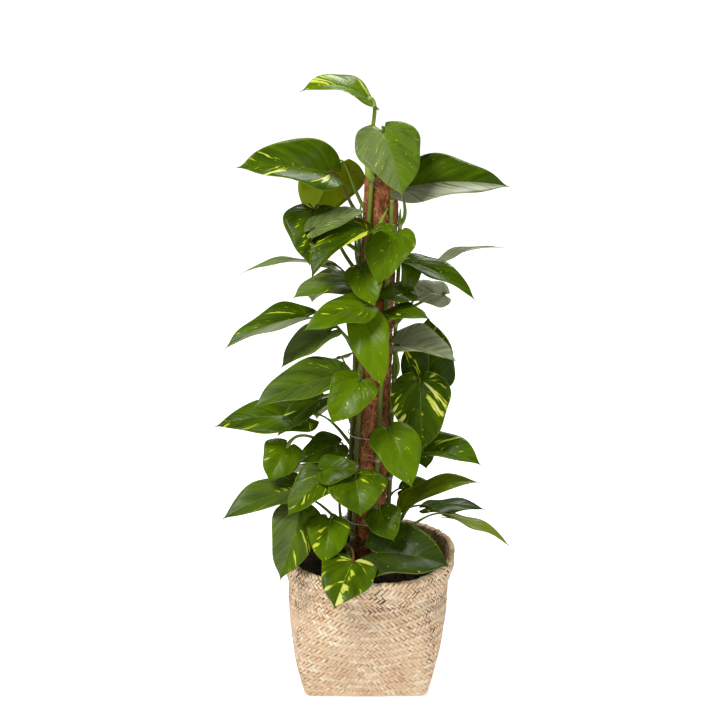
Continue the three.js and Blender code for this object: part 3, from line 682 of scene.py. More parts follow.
def makeStem(vine):
    heights = np.linspace(stemShape["bottom"], vine["top"], stemShape["steps"])
    path = np.array([stemPoint(vine, height) for height in heights])
    share = (heights - heights[0]) / (heights[-1] - heights[0])
    radii = stemShape["low"] + (stemShape["high"] - stemShape["low"]) * share
    age = 0.35 * (1 - share) ** 2
    ring = 0 * share
    for entry in vine["leaves"]:
        over = heights - entry["node"]
        radii = radii + stemShape["node"] * np.exp(-(over / stemShape["nodeReach"]) ** 2)
        ring = np.maximum(ring, np.exp(-((over + 2) / 1.6) ** 2))
        age = np.maximum(age, 0.6 * np.exp(-((over + 5) / 1.8) ** 2))
    nearTip = np.clip((heights - vine["top"] + stemShape["tipReach"]) / stemShape["tipReach"], 0, 1)
    radii = radii * (1 - 0.75 * nearTip ** 1.5)
    swing = heights / 23 + vine["foot"]
    path[:, 0] += stemShape["wobble"] * np.sin(swing)
    path[:, 1] += stemShape["wobble"] * np.cos(swing * 1.3)
    fresh = 0.1 + 0.5 * share ** 2 + 0.4 * np.clip((heights - vine["top"] + 30) / 30, 0, 1)
    return path, radii, np.stack([age, 0 * share, np.clip(fresh, 0, 1)], axis=1), 0.8 * ring


# Short aerial roots, from just below each node to the pole's surface.
def makeRoots(vine):
    roots = []
    step = np.linspace(0, 1, rootShape["steps"])
    for number, entry in enumerate(vine["leaves"]):
        below = entry["node"] - rootShape["below"]
        start = stemPoint(vine, below)
        bearing = math.atan2(start[1], start[0] - poleAxis(entry["node"]))
        for side in (-1, 1):
            swing = rootShape["reach"] * side * (0.6 + 0.4 * math.sin(7 * number + 3 * side))
            turn = bearing + swing * step + 0.12 * np.sin(9 * step + number)
            height = below + rootShape["rise"] * math.sin(5 * number + side) * step
            away = rootShape["lift"] + (stemShape["round"] - rootShape["lift"]) * (1 - step) ** 2
            path = np.stack([poleAxis(height) + away * np.cos(turn), away * np.sin(turn), height], axis=1)
            path[0] = start
            tint = np.tile((0.85, 0.0, 0.5), (len(step), 1))
            roots.append((path, rootShape["radius"] * (1 - 0.6 * step), tint, 0.7 * step))
    return roots


# A young leaf still rolled up into a slim bright point.
def makeShoot(shoot):
    step = np.linspace(0, 1, 24)
    start, end = np.array(shoot["start"], float), np.array(shoot["end"], float)
    path = start + step[:, None] * (end - start)
    path[:, 0] += shoot["bow"] * np.sin(np.pi * step)
    radii = shoot["radius"] * np.clip(np.minimum(0.35 + 2.2 * step, 1.25 * (1 - step) ** 0.7), 0.05, 1)
    return path, radii, np.tile((0.0, 0.0, 0.85), (len(step), 1)), 0 * step


def buildVine(name, vine, leafMaterial, stemMaterial):
    blades = [makeBlade(entry, number + vine["top"] % 17) for number, entry in enumerate(vine["leaves"])]
    faces, start = [], 0
    for blade in blades:
        faces += [tuple(start + corner for corner in face) for face in blade[1]]
        start += len(blade[0])
    joined = [{label: np.concatenate([blade[kind][label] for blade in blades]) for label in blades[0][kind]}
              for kind in (3, 2)]
    mesh = newMesh(name + "_leaves", np.concatenate([blade[0] for blade in blades]) * mm, faces, *joined)
    finishPiece(closedPiece(mesh), leafMaterial, name)
    tubes = [(*makeStem(vine), stemShape["sides"])]
    tubes += [(*makeStalk(vine, entry), stalkShape["sides"]) for entry in vine["leaves"]]
    tubes += [(*root, rootShape["sides"]) for root in makeRoots(vine)]
    tubes += [(*makeShoot(shoot), stalkShape["sides"]) for shoot in shoots if shoot["vine"] == name]
    points, faces = tubeParts([(path, radii, sides) for path, radii, tint, ring, sides in tubes])
    tints = np.concatenate([np.repeat(tint, sides, axis=0) for path, radii, tint, ring, sides in tubes])
    rings = np.concatenate([np.repeat(ring, sides) for path, radii, tint, ring, sides in tubes])
    mesh = newMesh(name + "_stems", np.concatenate(points) * mm, faces, {"ring": rings}, {"tint": tints})
    finishPiece(closedPiece(mesh), stemMaterial, name)


foliage = makeFoliage()
stemGreen = makeStemGreen()
for vineName, vine in vines.items():
    buildVine(vineName, vine, foliage, stemGreen)
print("leafy stems built:", sum(len(vine["leaves"]) for vine in vines.values()), "leaves")


# Basket.
basketShape = {"halfBase": 78.5, "halfBelly": 103, "bellyHeight": 120, "rimRadius": 110, "rimHeight": 172,
               "backRise": 6, "cuffDrop": 34, "wall": 5, "rimShift": 5, "cornerPower": 8, "footPower": 8,
               "inset": 0.9, "lowest": 1.6, "girth": 101}
# inner and outer: where on its profile the cuff starts and ends its turn over the rim.
cuffShape = {"inner": 0.38, "outer": 0.52, "bend": 3.6, "inside": 34, "flare": 1.5, "lumps": 0.6,
             "ragged": 0.9}
liningShape = {"inset": 1.1, "outer": 107.6, "top": 105, "inner": 101.6}
weaveShape = {"cell": 4.15, "float": 9.0, "width": 4.55, "crown": 0.32, "side": 0.05,
              "under": 0.4, "sway": 8, "bow": 10, "seed": 5}
strawLook = {"dull": (0.58, 0.33, 0.17, 1), "plain": (0.80, 0.58, 0.37, 1), "pale": (0.90, 0.76, 0.56, 1),
             "line": (0.95, 0.83, 0.64, 1), "edge": (0.46, 0.18, 0.065, 1), "gap": (0.03, 0.012, 0.006, 1),
             "liningDark": (0.28, 0.15, 0.075, 1), "liningPale": (0.50, 0.31, 0.17, 1)}


def rimAt(angle):
    return basketShape["rimHeight"] + basketShape["backRise"] * np.sin(angle) + 2 * np.sin(3 * angle + 1)


# Square at the floor, round at the rim.
def basketRadius(angle, height):
    rise = np.clip(height / basketShape["bellyHeight"], 0, 1)
    swell = (basketShape["halfBelly"] - basketShape["halfBase"]) * np.sin(rise * np.pi / 2)
    power = basketShape["cornerPower"] + (2 - basketShape["cornerPower"]) * np.sqrt(rise)
    power = power + basketShape["footPower"] * (1 - rise) ** 4
    total = np.abs(np.cos(angle)) ** power + np.abs(np.sin(angle)) ** power
    return (basketShape["halfBase"] + swell) / total ** (1 / power)


def basketSpots(angles, radii, heights):
    shift = basketShape["rimShift"] * heights / basketShape["rimHeight"]
    return np.stack([shift + radii * np.cos(angles), radii * np.sin(angles), heights], axis=-1) * mm


# Rows of places for one part of the basket, from its profile at each bearing.
def sheetSpots(profile, rows, columns):
    angles = np.linspace(0, 2 * np.pi, columns)
    radii, heights = profile(np.linspace(0, 1, rows)[:, None], angles[None, :])
    return basketSpots(angles[None, :] + 0 * radii, radii, heights)


def smooth(value):
    value = np.clip(value, 0, 1)
    return value * value * (3 - 2 * value)


def wallProfile(share, angle):
    top = rimAt(angle) - basketShape["cuffDrop"] + 6
    height = basketShape["lowest"] + (top - basketShape["lowest"]) * np.clip((share - 0.03) / 0.97, 0, 1)
    tucked = 2.2 * np.clip(1 - share / 0.02, 0, 1) ** 2
    lumps = 0.45 * np.sin(5 * angle + 0.05 * height) * np.sin(0.07 * height + 2 * np.sin(angle))
    return basketRadius(angle, height) - basketShape["inset"] - tucked + lumps, height


# Up the inside, over the rim and down to the loose hem.
def cuffProfile(share, angle):
    inner, outer, bend = cuffShape["inner"], cuffShape["outer"], cuffShape["bend"]
    rim = rimAt(angle)
    hem = rim - basketShape["cuffDrop"]
    centre = basketShape["rimRadius"] - 1.0 - bend
    falling = np.clip((share - outer) / (1 - outer), 0, 1)
    rising = np.clip(share / inner, 0, 1)
    over = np.clip((share - inner) / (outer - inner), 0, 1) * np.pi
    height = np.where(share < inner, rim - bend - cuffShape["inside"] * (1 - rising),
                      np.where(share < outer, rim - bend + (bend - 1.2) * np.sin(over),
                               rim - bend - (rim - bend - hem) * falling))
    skirt = basketRadius(angle, hem) + cuffShape["flare"]
    fallen = centre + bend + (skirt - centre - bend) * smooth((falling - 0.45) / 0.55)
    radius = np.where(share < inner, centre - bend - 1.5 * (1 - rising),
                      np.where(share < outer, centre - bend * np.cos(over), fallen))
    lumps = cuffShape["lumps"] * np.sin(7 * angle + 1) * np.sin(0.11 * height + 3 * np.sin(angle))
    ragged = cuffShape["ragged"] * np.sin(37 * angle) * np.sin(11 * angle + 2)
    return radius + lumps, height + ragged * smooth(1 - (rim - height) / 9)


# One float of the twill: a thin pillow that dips at both ends.
def pillowMesh():
    points = []
    for top in (True, False):
        for x in np.linspace(-1, 1, 5):
            for y in np.linspace(-1, 1, 3):
                crown = weaveShape["crown"] * (1 - 1.1 * x * x) - weaveShape["side"] * y * y
                z = max(crown, weaveShape["under"] * -0.4) if top else -weaveShape["under"]
                aside = y * weaveShape["width"] / 2 * (1 - 0.12 * x * x)
                points.append((x * weaveShape["float"] / 2, aside, z))
    return newMesh("pillow", np.array(points) * mm, slabFaces(5, 3, closed=True))


# Floats in two directions on two grids, swayed and bowed as one flat sheet and then wrapped.
def weaveTree(sizes):
    tree, given = geometryTree("twillWeave", sizes)
    shape = addNode(tree, "GeometryNodeStoreNamedAttribute", {
        "Geometry": given["Geometry"], "Name": "strand", "Value": addNode(tree, "GeometryNodeInputPosition")},
        data_type="FLOAT_VECTOR", domain="POINT")
    half = given["Cell"] / math.sqrt(2)
    columns, rows = given["Columns"], given["Rows"] + 1
    layers = []
    for number, (shiftX, shiftY, turn) in enumerate(((-0.5, 0.5, 135), (0.5, 2.5, 45))):
        grid = addNode(tree, "GeometryNodeMeshGrid", {
            "Size X": (columns - 1) * (half * 2), "Size Y": (rows - 1) * (half * 4),
            "Vertices X": columns, "Vertices Y": rows})
        toY = (rows - 1) * (half * 2) + half * (shiftY - 4)
        grid = addNode(tree, "GeometryNodeSetPosition", {
            "Geometry": grid, "Offset": vectorOf(columns * half + half * shiftX, toY, 0.0)})
        angle = draw(tree, -0.1, 0.1, weaveShape["seed"] + number) + math.radians(turn)
        scale = vectorOf(draw(tree, 0.9, 1.1, number + 11), draw(tree, 0.93, 1.07, number + 21),
                         draw(tree, 0.6, 1.2, number + 31))
        x, y, _ = parts(addNode(tree, "GeometryNodeInputPosition"))
        strip = calc("ROUND", (x + y if number == 0 else x - y) / (half * 2))
        tint = draw(tree, 0.0, 1.0, number + 51, strip)
        # Floats of the second direction start a little lighter: painted light on that direction's floats,
        # against the shade along their sides.
        shade = tint * 0.55 + draw(tree, 0.14 * number, 0.4, number + 41)
        layers.append(scatter(grid, shape, spin(angle), scale, shade))
    joined = addNode(tree, "GeometryNodeJoinGeometry", {0: layers})
    spot = addNode(tree, "GeometryNodeInputPosition")
    share = parts(spot)[0] / given["Width"]
    sway = smoothRange(calc("MINIMUM", share, 1 - share), 0, 0.05) * given["Sway"]
    shift = [sway * (noise(spot, scale, 2) + noise(spot, 6 * scale, 1) * 0.3 - 0.65) for scale in (21, 24)]
    corner = 1 - calc("COSINE", share * (8 * math.pi))
    swayed = addNode(tree, "GeometryNodeSetPosition", {
        "Geometry": joined, "Offset": vectorOf(shift[0], shift[1] + corner * 0.5 * given["Bow"], 0.0)})
    level = parts(addNode(tree, "GeometryNodeInputPosition"))[1]
    below, above = calc("LESS_THAN", level, half * -0.6), calc("GREATER_THAN", level, given["Height"])
    kept = addNode(tree, "GeometryNodeDeleteGeometry", {
        "Geometry": swayed, "Selection": calc("MAXIMUM", below, above)}, domain="INSTANCE")
    return wrapOnto(kept, given)


def makeStraw():
    look = strawLook
    material, tree, shader = newMaterial("dryGrass", rough=0.75, shine=0.2)
    strand, shade, place = readVector(tree, "strand"), readNumber(tree, "shade"), objectPlace(tree)
    along, aside, _ = parts(strand)
    x, _, z = parts(place)
    lines = noise(strand, (120, 2600, 1), 2)
    mixed = shade * 0.8 + noise(place, 34) * 0.5
    base = blend(smoothRange(mixed, 0.1, 0.75), look["dull"], look["plain"])
    base = blend(smoothRange(mixed, 0.72, 0.95), base, look["pale"])
    lined = blend(smoothRange(lines, 0.35, 0.7) * 0.4, base, look["line"])
    # Brown edges and ends of the strips: painted shade between the strips, heavier high up and at the
    # basket's sides where shade falls, and in random worn patches.
    darkEnds = smoothRange(abs(along), 0.0038, 0.0045)
    darkSides = smoothRange(abs(aside + 0.0003), 0.0017, 0.0022)
    worn = smoothRange(noise(place, 22), 0.42, 0.62)
    edgeShadeAndWear = smoothRange(z, 0.09, 0.17) * 0.5 + 0.16 + smoothRange(abs(x), 0.085, 0.1) * 0.3 + worn * 0.6
    final = blend(calc("MAXIMUM", darkEnds, darkSides) * edgeShadeAndWear, lined, look["edge"])
    # Painted shade: black painted round some of the strips, high up and at the sides, for the shade seen
    # through the gaps.
    zone = calc("MAXIMUM", smoothRange(z, 0.1, 0.15), smoothRange(abs(x), 0.06, 0.095))
    picked = calc("GREATER_THAN", calc("FRACT", shade * 17.3), 0.5)
    shadedGapMask = zone * picked * smoothRange(noise(place, 45, 2), 0.5, 0.58)
    gap = shadedGapMask * calc("MAXIMUM", smoothRange(abs(aside), 0.0012, 0.0017), darkEnds)
    paint(shader, blend(gap, final, look["gap"]), lines, 0.4, 0.0005)
    return material


def buildBasket():
    straw = makeStraw()
    # The lining's straw colour is darkened, partly as painted shade seen in the gaps between the strips.
    lining = mottledMaterial("darkGrass", 0.9, 400, 2, strawLook["liningDark"], strawLook["liningPale"])
    pillow = pillowMesh()
    half = weaveShape["cell"] / math.sqrt(2)
    columns = round(2 * math.pi * basketShape["girth"] / (2 * half))
    tree = None
    for name, profile in (("wall", wallProfile), ("cuff", cuffProfile)):
        guide, height = guideSheet("guide_" + name, sheetSpots(profile, 90, 181))
        count = round(height / mm / (4 * half))
        sizes = {"Cell": weaveShape["cell"] * mm, "Columns": columns, "Rows": count, "Guide": guide,
                 "Width": columns * 2 * half * mm, "Height": (count * 4 * half + 0.5) * mm,
                 "Sway": weaveShape["sway"] * mm, "Bow": weaveShape["bow"] * mm, "Material": straw}
        tree = tree or weaveTree(sizes)
        finishPiece(grow("basket_" + name, pillow, tree, sizes), straw, "basket")
        bpy.data.objects.remove(guide)
        print("woven", name, "with", 2 * columns * count, "floats")
    finishPiece(liningBody(), lining, "basket")


# The solid behind the strips: wall, floor and the fold of the cuff, all set in from the strips.
def liningBody():
    angles = roundTurns(180)[None, :]
    rim = rimAt(angles)
    hem = rim - basketShape["cuffDrop"]
    atHem = basketRadius(angles, hem)
    inset = basketShape["inset"] + liningShape["inset"]
    rows = [(basketRadius(angles, z) - inset - 1.2 * (z < 2), z)
            for z in (basketShape["lowest"], 4, 8, 12, 18, 26, 35, 45, 55, 67, 80, 92, 105, 120)]
    outer, top, inner = liningShape["outer"], liningShape["top"], liningShape["inner"]
    rows += [(atHem - inset, hem + 1), (atHem + 0.3, hem + 1), (outer, hem + 16), (outer, rim - 6),
             (top, rim - 2.4), (inner, rim - 6), (atHem - 3.4, hem + 4)]
    rows += [(basketRadius(angles, z) - basketShape["wall"], z) for z in (120, 85, 45, 18, 5)]
    spots = [basketSpots(*np.broadcast_arrays(angles, radius, height))[0] for radius, height in rows]
    return closedPiece(newMesh("basket_lining", np.concatenate(spots), ringFaces(len(rows), angles.size)))


buildBasket()
print("basket built")


# Coir pole, its stake and the two wire ties.
coirLook = {"fibres": 60000.0, "hairs": 3200.0, "fibreLength": 24, "hairLength": 16, "fibreRadius": 0.36,
            "hairRadius": 0.09, "depth": 1.2, "seed": 3, "dark": (0.13, 0.038, 0.012, 1),
            "bright": (0.50, 0.19, 0.065, 1), "strand": (0.58, 0.26, 0.105, 1), "pale": (0.78, 0.50, 0.29, 1),
            "shadow": (0.045, 0.016, 0.01, 1)}
stakeShape = {"radius": 10.6, "bottom": 12, "top": 664, "dark": (0.30, 0.20, 0.09, 1),
              "pale": (0.50, 0.38, 0.20, 1)}
tieShape = {"radius": 30, "wire": 0.7, "heights": (213, 327), "bearing": -58, "twist": 11, "coils": 3,
            "swirl": 0.75, "sag": 4, "colour": (0.55, 0.55, 0.52, 1)}
poleLean = math.radians(poleShape["lean"])
poleUp = np.array((math.sin(poleLean), 0, math.cos(poleLean)))
poleRight = np.array((math.cos(poleLean), 0, -math.sin(poleLean)))


# A place on or in the pole, from its bearing, its distance from the axis and how far up it is.
def onPole(angle, radius, up):
    return (axisPoint(poleShape["bottom"]) + up[..., None] * poleUp
            + (radius * np.cos(angle))[..., None] * poleRight
            + (radius * np.sin(angle))[..., None] * np.array((0.0, 1.0, 0.0)))


# The pole's lumpy surface, set in by a little.
def coirSurface(angle, up, inset):
    lumps = (np.sin(5 * angle + 0.05 * up) * np.sin(0.19 * up + 2 * angle) * 0.5
             + np.sin(11 * angle - 0.13 * up) * np.sin(0.43 * up + 3 * angle) * 0.35
             + np.sin(23 * angle + 0.4 * up) * np.sin(0.9 * up - 5 * angle) * 0.2)
    radius = poleShape["radius"] - coirLook["depth"] - inset + coirLook["depth"] * lumps
    return onPole(angle, radius, up + 0 * angle)


def makeCoir():
    look = coirLook
    material, tree, shader = newMaterial("coirFibre", rough=0.95, shine=0.1)
    place = objectPlace(tree)
    shade = readNumber(tree, "shade")
    fine = noise(place, (900, 900, 260))
    base = blend(smoothRange(noise(place, 90, 5), 0.3, 0.7), look["dark"], look["bright"])
    strand = blend(shade * 0.8, base, look["strand"])
    strand = blend(smoothRange(shade, 0.8, 0.88), strand, look["pale"])
    paint(shader, blend(smoothRange(fine, 0.5, 0.75) * 0.5, strand, look["shadow"]), fine, 0.6, 0.001)
    return material


def strandMesh(length, radius, rise):
    step = np.linspace(-1, 1, 7)
    lift = 0.35 + rise * (step * 0.5 + 0.5) ** 2
    path = np.stack([step * length / 2, length * 0.13 * (1 - step ** 2), lift], axis=1)
    return newMesh("strand", tubePoints(path, radius * (1 - 0.5 * np.abs(step)), 3) * mm, ringFaces(7, 3))


def strandTree(sizes):
    tree, given = geometryTree("looseStrands", sizes)
    ground = addNode(tree, "GeometryNodeMeshGrid", {
        "Size X": given["Width"], "Size Y": given["Height"], "Vertices X": 2, "Vertices Y": 2})
    toMiddle = vectorOf(given["Width"] / 2, given["Height"] / 2, 0.0)
    ground = addNode(tree, "GeometryNodeSetPosition", {"Geometry": ground, "Offset": toMiddle})
    turn = spin(draw(tree, 0.0, 2 * math.pi, 5))
    scale = vectorOf(draw(tree, 0.5, 1.3, 6), draw(tree, -1.6, 1.6, 7), draw(tree, 0.3, 1.6, 8))
    placed = scatter(spotsOn(ground, given), given["Geometry"], turn, scale, draw(tree, 0.0, 1.0, 9))
    return wrapOnto(placed, given)


def buildPole():
    coir = makeCoir()
    sides, rows = 150, 420
    angle = roundTurns(sides)[None, :]
    outer = coirSurface(angle, np.linspace(0, poleShape["length"], rows)[:, None], 0)
    inner = onPole(angle, poleShape["bore"] + 0 * angle, np.array([[poleShape["length"]], [0.0]]) + 0 * angle)
    spots = np.concatenate([outer, inner]).reshape(-1, 3)
    body = newMesh("coir_body", spots * mm, ringFaces(rows + 2, sides, loop=True))
    finishPiece(closedPiece(body), coir, "coir_pole")
    angle = np.linspace(0, 2 * np.pi, 97)[None, :]
    surface = coirSurface(angle, np.linspace(1, poleShape["length"] - 1, 150)[:, None], 0.2)
    guide, height = guideSheet("guide_pole", surface * mm)
    tree = None
    for name, length, thick, rise, density in (
            ("coir_fibres", coirLook["fibreLength"], coirLook["fibreRadius"], 0.6, coirLook["fibres"]),
            ("coir_hairs", coirLook["hairLength"], coirLook["hairRadius"], 6, coirLook["hairs"])):
        sizes = {"Density": density, "Seed": coirLook["seed"], "Guide": guide,
                 "Width": 2 * math.pi * poleShape["radius"] * mm, "Height": height, "Material": coir}
        tree = tree or strandTree(sizes)
        strands = grow(name, strandMesh(length, thick, rise), tree, sizes)
        finishPiece(strands, coir, "coir_pole")
        print(name, len(strands.data.polygons), "faces")
    bpy.data.objects.remove(guide)


def buildStake():
    cane = mottledMaterial("paleCane", 0.6, (700, 700, 30), 3, stakeShape["dark"], stakeShape["pale"])
    length = stakeShape["top"] - stakeShape["bottom"]
    radii = stakeShape["radius"] - np.array((1.4, 0.4, 0, 0, 0, 0, 0.4, 1.4))
    path = np.array([axisPoint(stakeShape["bottom"]) + up * poleUp
                     for up in (0, 1.2, 4, 200, 400, length - 4, length - 1.2, length)])
    mesh = newMesh("stake", tubePoints(path, radii, 40) * mm, ringFaces(len(path), 40))
    finishPiece(closedPiece(mesh), cane, "pole_stake")


# A ring of wire round the stems, its two ends twisted together at the front.
def buildTies():
    steel = newMaterial("dullWire", rough=0.35, colour=tieShape["colour"], metal=1.0)[0]
    section = roundTurns(8)
    for number, height in enumerate(tieShape["heights"]):
        centre = axisPoint(height)
        points = []
        for turn in np.linspace(0, 2 * np.pi, 121)[:-1]:
            outward = math.cos(turn) * poleRight + math.sin(turn) * np.array((0, 1, 0))
            ring = centre + outward * tieShape["radius"] + 0.35 * math.sin(6 * turn + number) * poleUp
            points.append(ring + tieShape["wire"] * (np.cos(section)[:, None] * outward
                                                     + np.sin(section)[:, None] * poleUp))
        faces = ringFaces(len(points), len(section), loop=True)
        bearing = tieShape["bearing"] + 40 * number
        outward = direction(bearing, 0)
        aside = np.array((-outward[1], outward[0], 0))
        step = np.linspace(0, 1, 40)
        ends = []
        for phase in (0, np.pi):
            swirl = 2 * np.pi * tieShape["coils"] * step + phase
            rise = tieShape["swirl"] * np.sin(swirl) - tieShape["sag"] * step ** 2
            path = (centre + outward * (tieShape["radius"] - 0.3 + tieShape["twist"] * step)[:, None]
                    + tieShape["swirl"] * np.cos(swirl)[:, None] * aside
                    + rise[:, None] * np.array((0, 0, 1)))
            ends.append((path, np.full(len(step), tieShape["wire"]), len(section)))
        morePoints, moreFaces = tubeParts(ends, len(points) * len(section))
        places = np.concatenate(points + morePoints)
        mesh = newMesh("tie_wire_%d" % (number + 1), places * mm, faces + moreFaces)
        finishPiece(closedPiece(mesh), steel, "tie_%d" % (number + 1))


buildPole()
buildStake()
buildTies()
print("pole, stake and ties built")


# Nursery pot and potting mix.
potShape = {"footRadius": 66, "topRadius": 93, "lip": 4, "wall": 2, "top": 157, "foot": 5.3, "floor": 10.3,
            "centre": 2, "drainHoles": 6, "drainRadius": 5, "drainRing": 40, "sides": 120,
            "colour": (0.012, 0.012, 0.012, 1)}
soilShape = {"top": 147, "mound": 4, "lumps": 2.2, "crumbs": 110000.0, "crumb": 1.5, "seed": 8, "gap": 0.4,
             "dark": (0.012, 0.008, 0.005, 1), "bright": (0.09, 0.05, 0.028, 1)}


def potInnerRadius(height):
    rise = (height - potShape["foot"]) / (potShape["top"] - potShape["foot"])
    return potShape["footRadius"] + rise * (potShape["topRadius"] - potShape["footRadius"]) - potShape["wall"]


# Rings of points round the pot's middle, one for each radius and height.
def turned(profile, sides):
    turns = roundTurns(sides)
    return np.concatenate([np.stack([potShape["centre"] + radius * np.cos(turns), radius * np.sin(turns),
                                     height + 0 * turns], axis=1) for radius, height in profile])


def buildPot():
    plastic = newMaterial("blackPlastic", rough=0.42, colour=potShape["colour"])[0]
    top, foot, floor = potShape["top"], potShape["foot"], potShape["floor"]
    under, base, sides = floor - potShape["wall"], potShape["footRadius"], potShape["sides"]
    lip = potShape["topRadius"] + potShape["lip"]
    profile = [(1, under), (base - 7.5, under), (base - 6.5, floor - 2.6), (base - 6, foot + 0.4),
               (base - 5.6, foot), (base - 0.4, foot), (base, foot + 0.5), (potShape["topRadius"], top - 6),
               (lip - 0.4, top - 6), (lip, top - 5.6)]
    profile += [(lip - 1 + math.cos(turn), top - 1 + math.sin(turn)) for turn in np.linspace(0, np.pi / 2, 5)]
    profile += [(potInnerRadius(top) + 0.6, top), (potInnerRadius(top), top - 0.6),
                (potInnerRadius(floor) + 0.2, floor + 1), (potInnerRadius(floor) - 1, floor), (1, floor)]
    body = closedPiece(newMesh("pot_body", turned(profile, sides) * mm, ringFaces(len(profile), sides)))
    holes = []
    for turn in roundTurns(potShape["drainHoles"]):
        spot = np.array((potShape["centre"] + potShape["drainRing"] * math.cos(turn),
                         potShape["drainRing"] * math.sin(turn), floor - 8))
        holes.append((np.array((spot, spot + (0, 0, 14))), (potShape["drainRadius"],) * 2, 24))
    points, faces = tubeParts(holes)
    drill = closedPiece(newMesh("drill", np.concatenate(points) * mm, faces))
    cut = body.modifiers.new("drain", "BOOLEAN")
    cut.operation = "DIFFERENCE"
    cut.solver = "EXACT"
    cut.object = drill
    drained = settled(body)
    bpy.data.objects.remove(drill)
    finishPiece(addObject("pot_body", drained), plastic, "nursery_pot")


def soilHeight(x, y):
    reach = np.hypot(x, y) / potInnerRadius(soilShape["top"])
    rough = (np.sin(0.21 * x + 1) * np.sin(0.17 * y) + 0.7 * np.sin(0.47 * x - 0.3 * y) * np.sin(0.41 * y + 2)
             + 0.4 * np.sin(0.9 * x + 0.8 * y) * np.sin(1.1 * y - 0.6 * x))
    return soilShape["top"] + soilShape["mound"] * (1 - reach) + soilShape["lumps"] * 0.45 * rough


def makeSoilMix():
    material, tree, shader = newMaterial("pottingMix", rough=1.0)
    speck = noise(objectPlace(tree), 330, 4)
    mixed = smoothRange(speck * 0.7 + readNumber(tree, "shade") * 0.4, 0.3, 0.9)
    paint(shader, blend(mixed, soilShape["dark"], soilShape["bright"]), speck, 0.8, 0.002)
    return material


def crumbTree(sizes):
    tree, given = geometryTree("soilCrumbs", sizes)
    ground = addNode(tree, "GeometryNodeObjectInfo", {0: given["Guide"]}, "Geometry")
    angles = addNode(tree, "FunctionNodeRandomValue", {0: (0.0, 0.0, 0.0), 1: (6.28, 6.28, 6.28), "Seed": 2},
                     data_type="FLOAT_VECTOR")
    turn = addNode(tree, "FunctionNodeEulerToRotation", {0: angles})
    scale = vectorOf(draw(tree, 0.5, 1.9, 3), draw(tree, 0.5, 1.3, 4), draw(tree, 0.4, 1.2, 5))
    placed = scatter(spotsOn(ground, given), given["Geometry"], turn, scale, draw(tree, 0.0, 1.0, 6))
    return endTree(placed, given["Material"])


def buildSoil():
    mix = makeSoilMix()
    sides, rings = 160, 60
    rim = potInnerRadius(soilShape["top"]) - soilShape["gap"]
    bottom = potShape["floor"] + soilShape["gap"]
    low = turned([(1.0, bottom), (potInnerRadius(bottom) - 0.5, bottom), (potInnerRadius(70) - 0.5, 70),
                  (rim - 1, soilShape["top"] - 6)], sides)
    high = turned([(radius, 0) for radius in np.linspace(rim, 1, rings)], sides)
    high[:, 2] = soilHeight(high[:, 0] - potShape["centre"], high[:, 1])
    body = newMesh("soil_body", np.concatenate([low, high]) * mm, ringFaces(rings + 4, sides))
    finishPiece(closedPiece(body), mix, "soil")
    guide = addObject("guide_soil", newMesh("guide_soil", high * mm, ringFaces(rings, sides)[:-2]))
    made = bmesh.new()
    bmesh.ops.create_icosphere(made, subdivisions=1, radius=soilShape["crumb"] * mm)
    crumb = bpy.data.meshes.new("crumb")
    made.to_mesh(crumb)
    made.free()
    sizes = {"Density": soilShape["crumbs"], "Seed": soilShape["seed"], "Guide": guide, "Material": mix}
    crumbs = grow("soil_crumbs", crumb, crumbTree(sizes), sizes)
    crumbs.data.shade_flat()
    bpy.data.objects.remove(guide)
    finishPiece(crumbs, mix, "soil")
    print("soil crumbs", len(crumbs.data.polygons), "faces")


buildPot()
buildSoil()
print("pot and soil built")


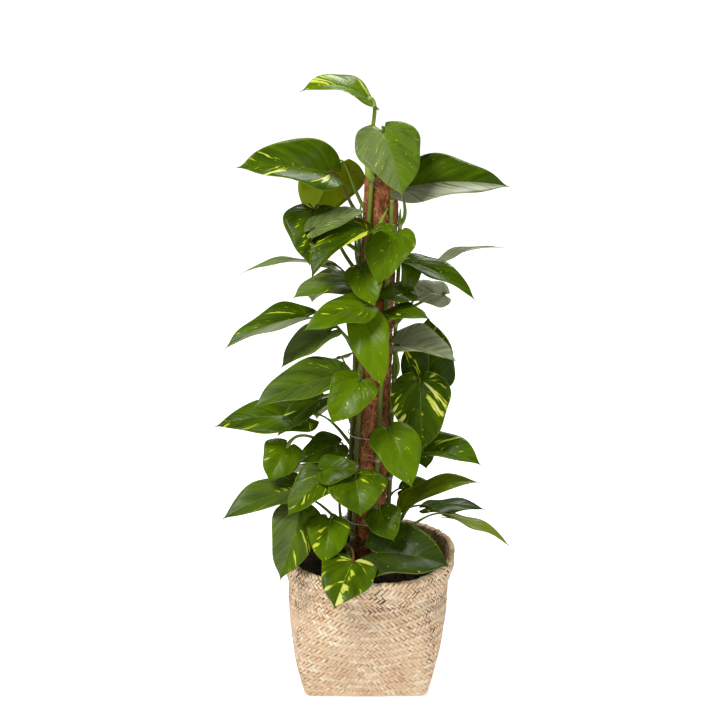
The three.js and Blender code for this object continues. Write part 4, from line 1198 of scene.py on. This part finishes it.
# Floor, light and camera.
cameraLook = {"place": (-0.0045, -2.4, 1.113), "aim": (-0.0045, 0.0, 0.419), "lens": 99.75, "sensor": 36}
lightLook = {"ambient": 0.2, "seen": 1.0, "nearGlow": 0.55, "farGlow": 0.95, "bounce": 0.22, "floor": 12}
lamps = {
    "key": {"place": (-1.1, -1.3, 2.4), "aim": (0, 0, 0.4), "size": 0.9, "power": 60},
    "fill": {"place": (1.8, -1.6, 1.2), "aim": (0, 0, 0.4), "size": 1.5, "power": 15},
    "back": {"place": (0.45, 1.25, 2.2), "aim": (0, 0, 0.5), "size": 0.9, "power": 32},
}


def aimed(piece, look):
    piece.location = look["place"]
    away = Vector(look["aim"]) - Vector(look["place"])
    piece.rotation_euler = away.to_track_quat("-Z", "Y").to_euler()
    return piece


def buildStage():
    material, tree, shader = newMaterial("paleFloor", rough=0.9, colour=(0.9, 0.9, 0.9, 1), glow=(1, 1, 1, 1))
    apart = addNode(tree, "ShaderNodeVectorMath", {0: objectPlace(tree)}, "Value", operation="LENGTH")
    glow = addNode(tree, "ShaderNodeMapRange", {
        0: apart, 1: 0.3, 2: 1.4, 3: lightLook["nearGlow"], 4: lightLook["farGlow"]},
        interpolation_type="SMOOTHSTEP")
    seen = addNode(tree, "ShaderNodeLightPath", output="Is Camera Ray")
    shown = addNode(tree, "ShaderNodeMapRange", {0: seen, 3: lightLook["bounce"], 4: glow})
    tree.links.new(shown.socket, shader.inputs["Emission Strength"])
    corners = np.array([(-1, -1, 0), (1, -1, 0), (1, 1, 0), (-1, 1, 0)]) * lightLook["floor"]
    mesh = newMesh("floor", corners, [(0, 1, 2, 3)])
    mesh.materials.append(material)
    floor = addObject("floor", mesh)
    world = bpy.data.worlds.new("studio")
    world.use_nodes = True
    tree = world.node_tree
    background = tree.nodes["Background"]
    seen = addNode(tree, "ShaderNodeLightPath", output="Is Camera Ray")
    strength = addNode(tree, "ShaderNodeMapRange", {0: seen, 3: lightLook["ambient"], 4: lightLook["seen"]})
    background.inputs["Color"].default_value = (1, 1, 1, 1)
    tree.links.new(strength.socket, background.inputs["Strength"])
    bpy.context.scene.world = world
    for name, look in lamps.items():
        light = bpy.data.lights.new(name, "AREA")
        light.size = look["size"]
        light.energy = look["power"]
        aimed(addObject(name, light), look)
    camera = aimed(addObject("camera", bpy.data.cameras.new("camera")), cameraLook)
    camera.data.sensor_width = cameraLook["sensor"]
    camera.data.lens = cameraLook["lens"]
    bpy.context.scene.camera = camera
    bpy.context.scene.view_settings.view_transform = "Standard"


buildStage()
print("stage built")
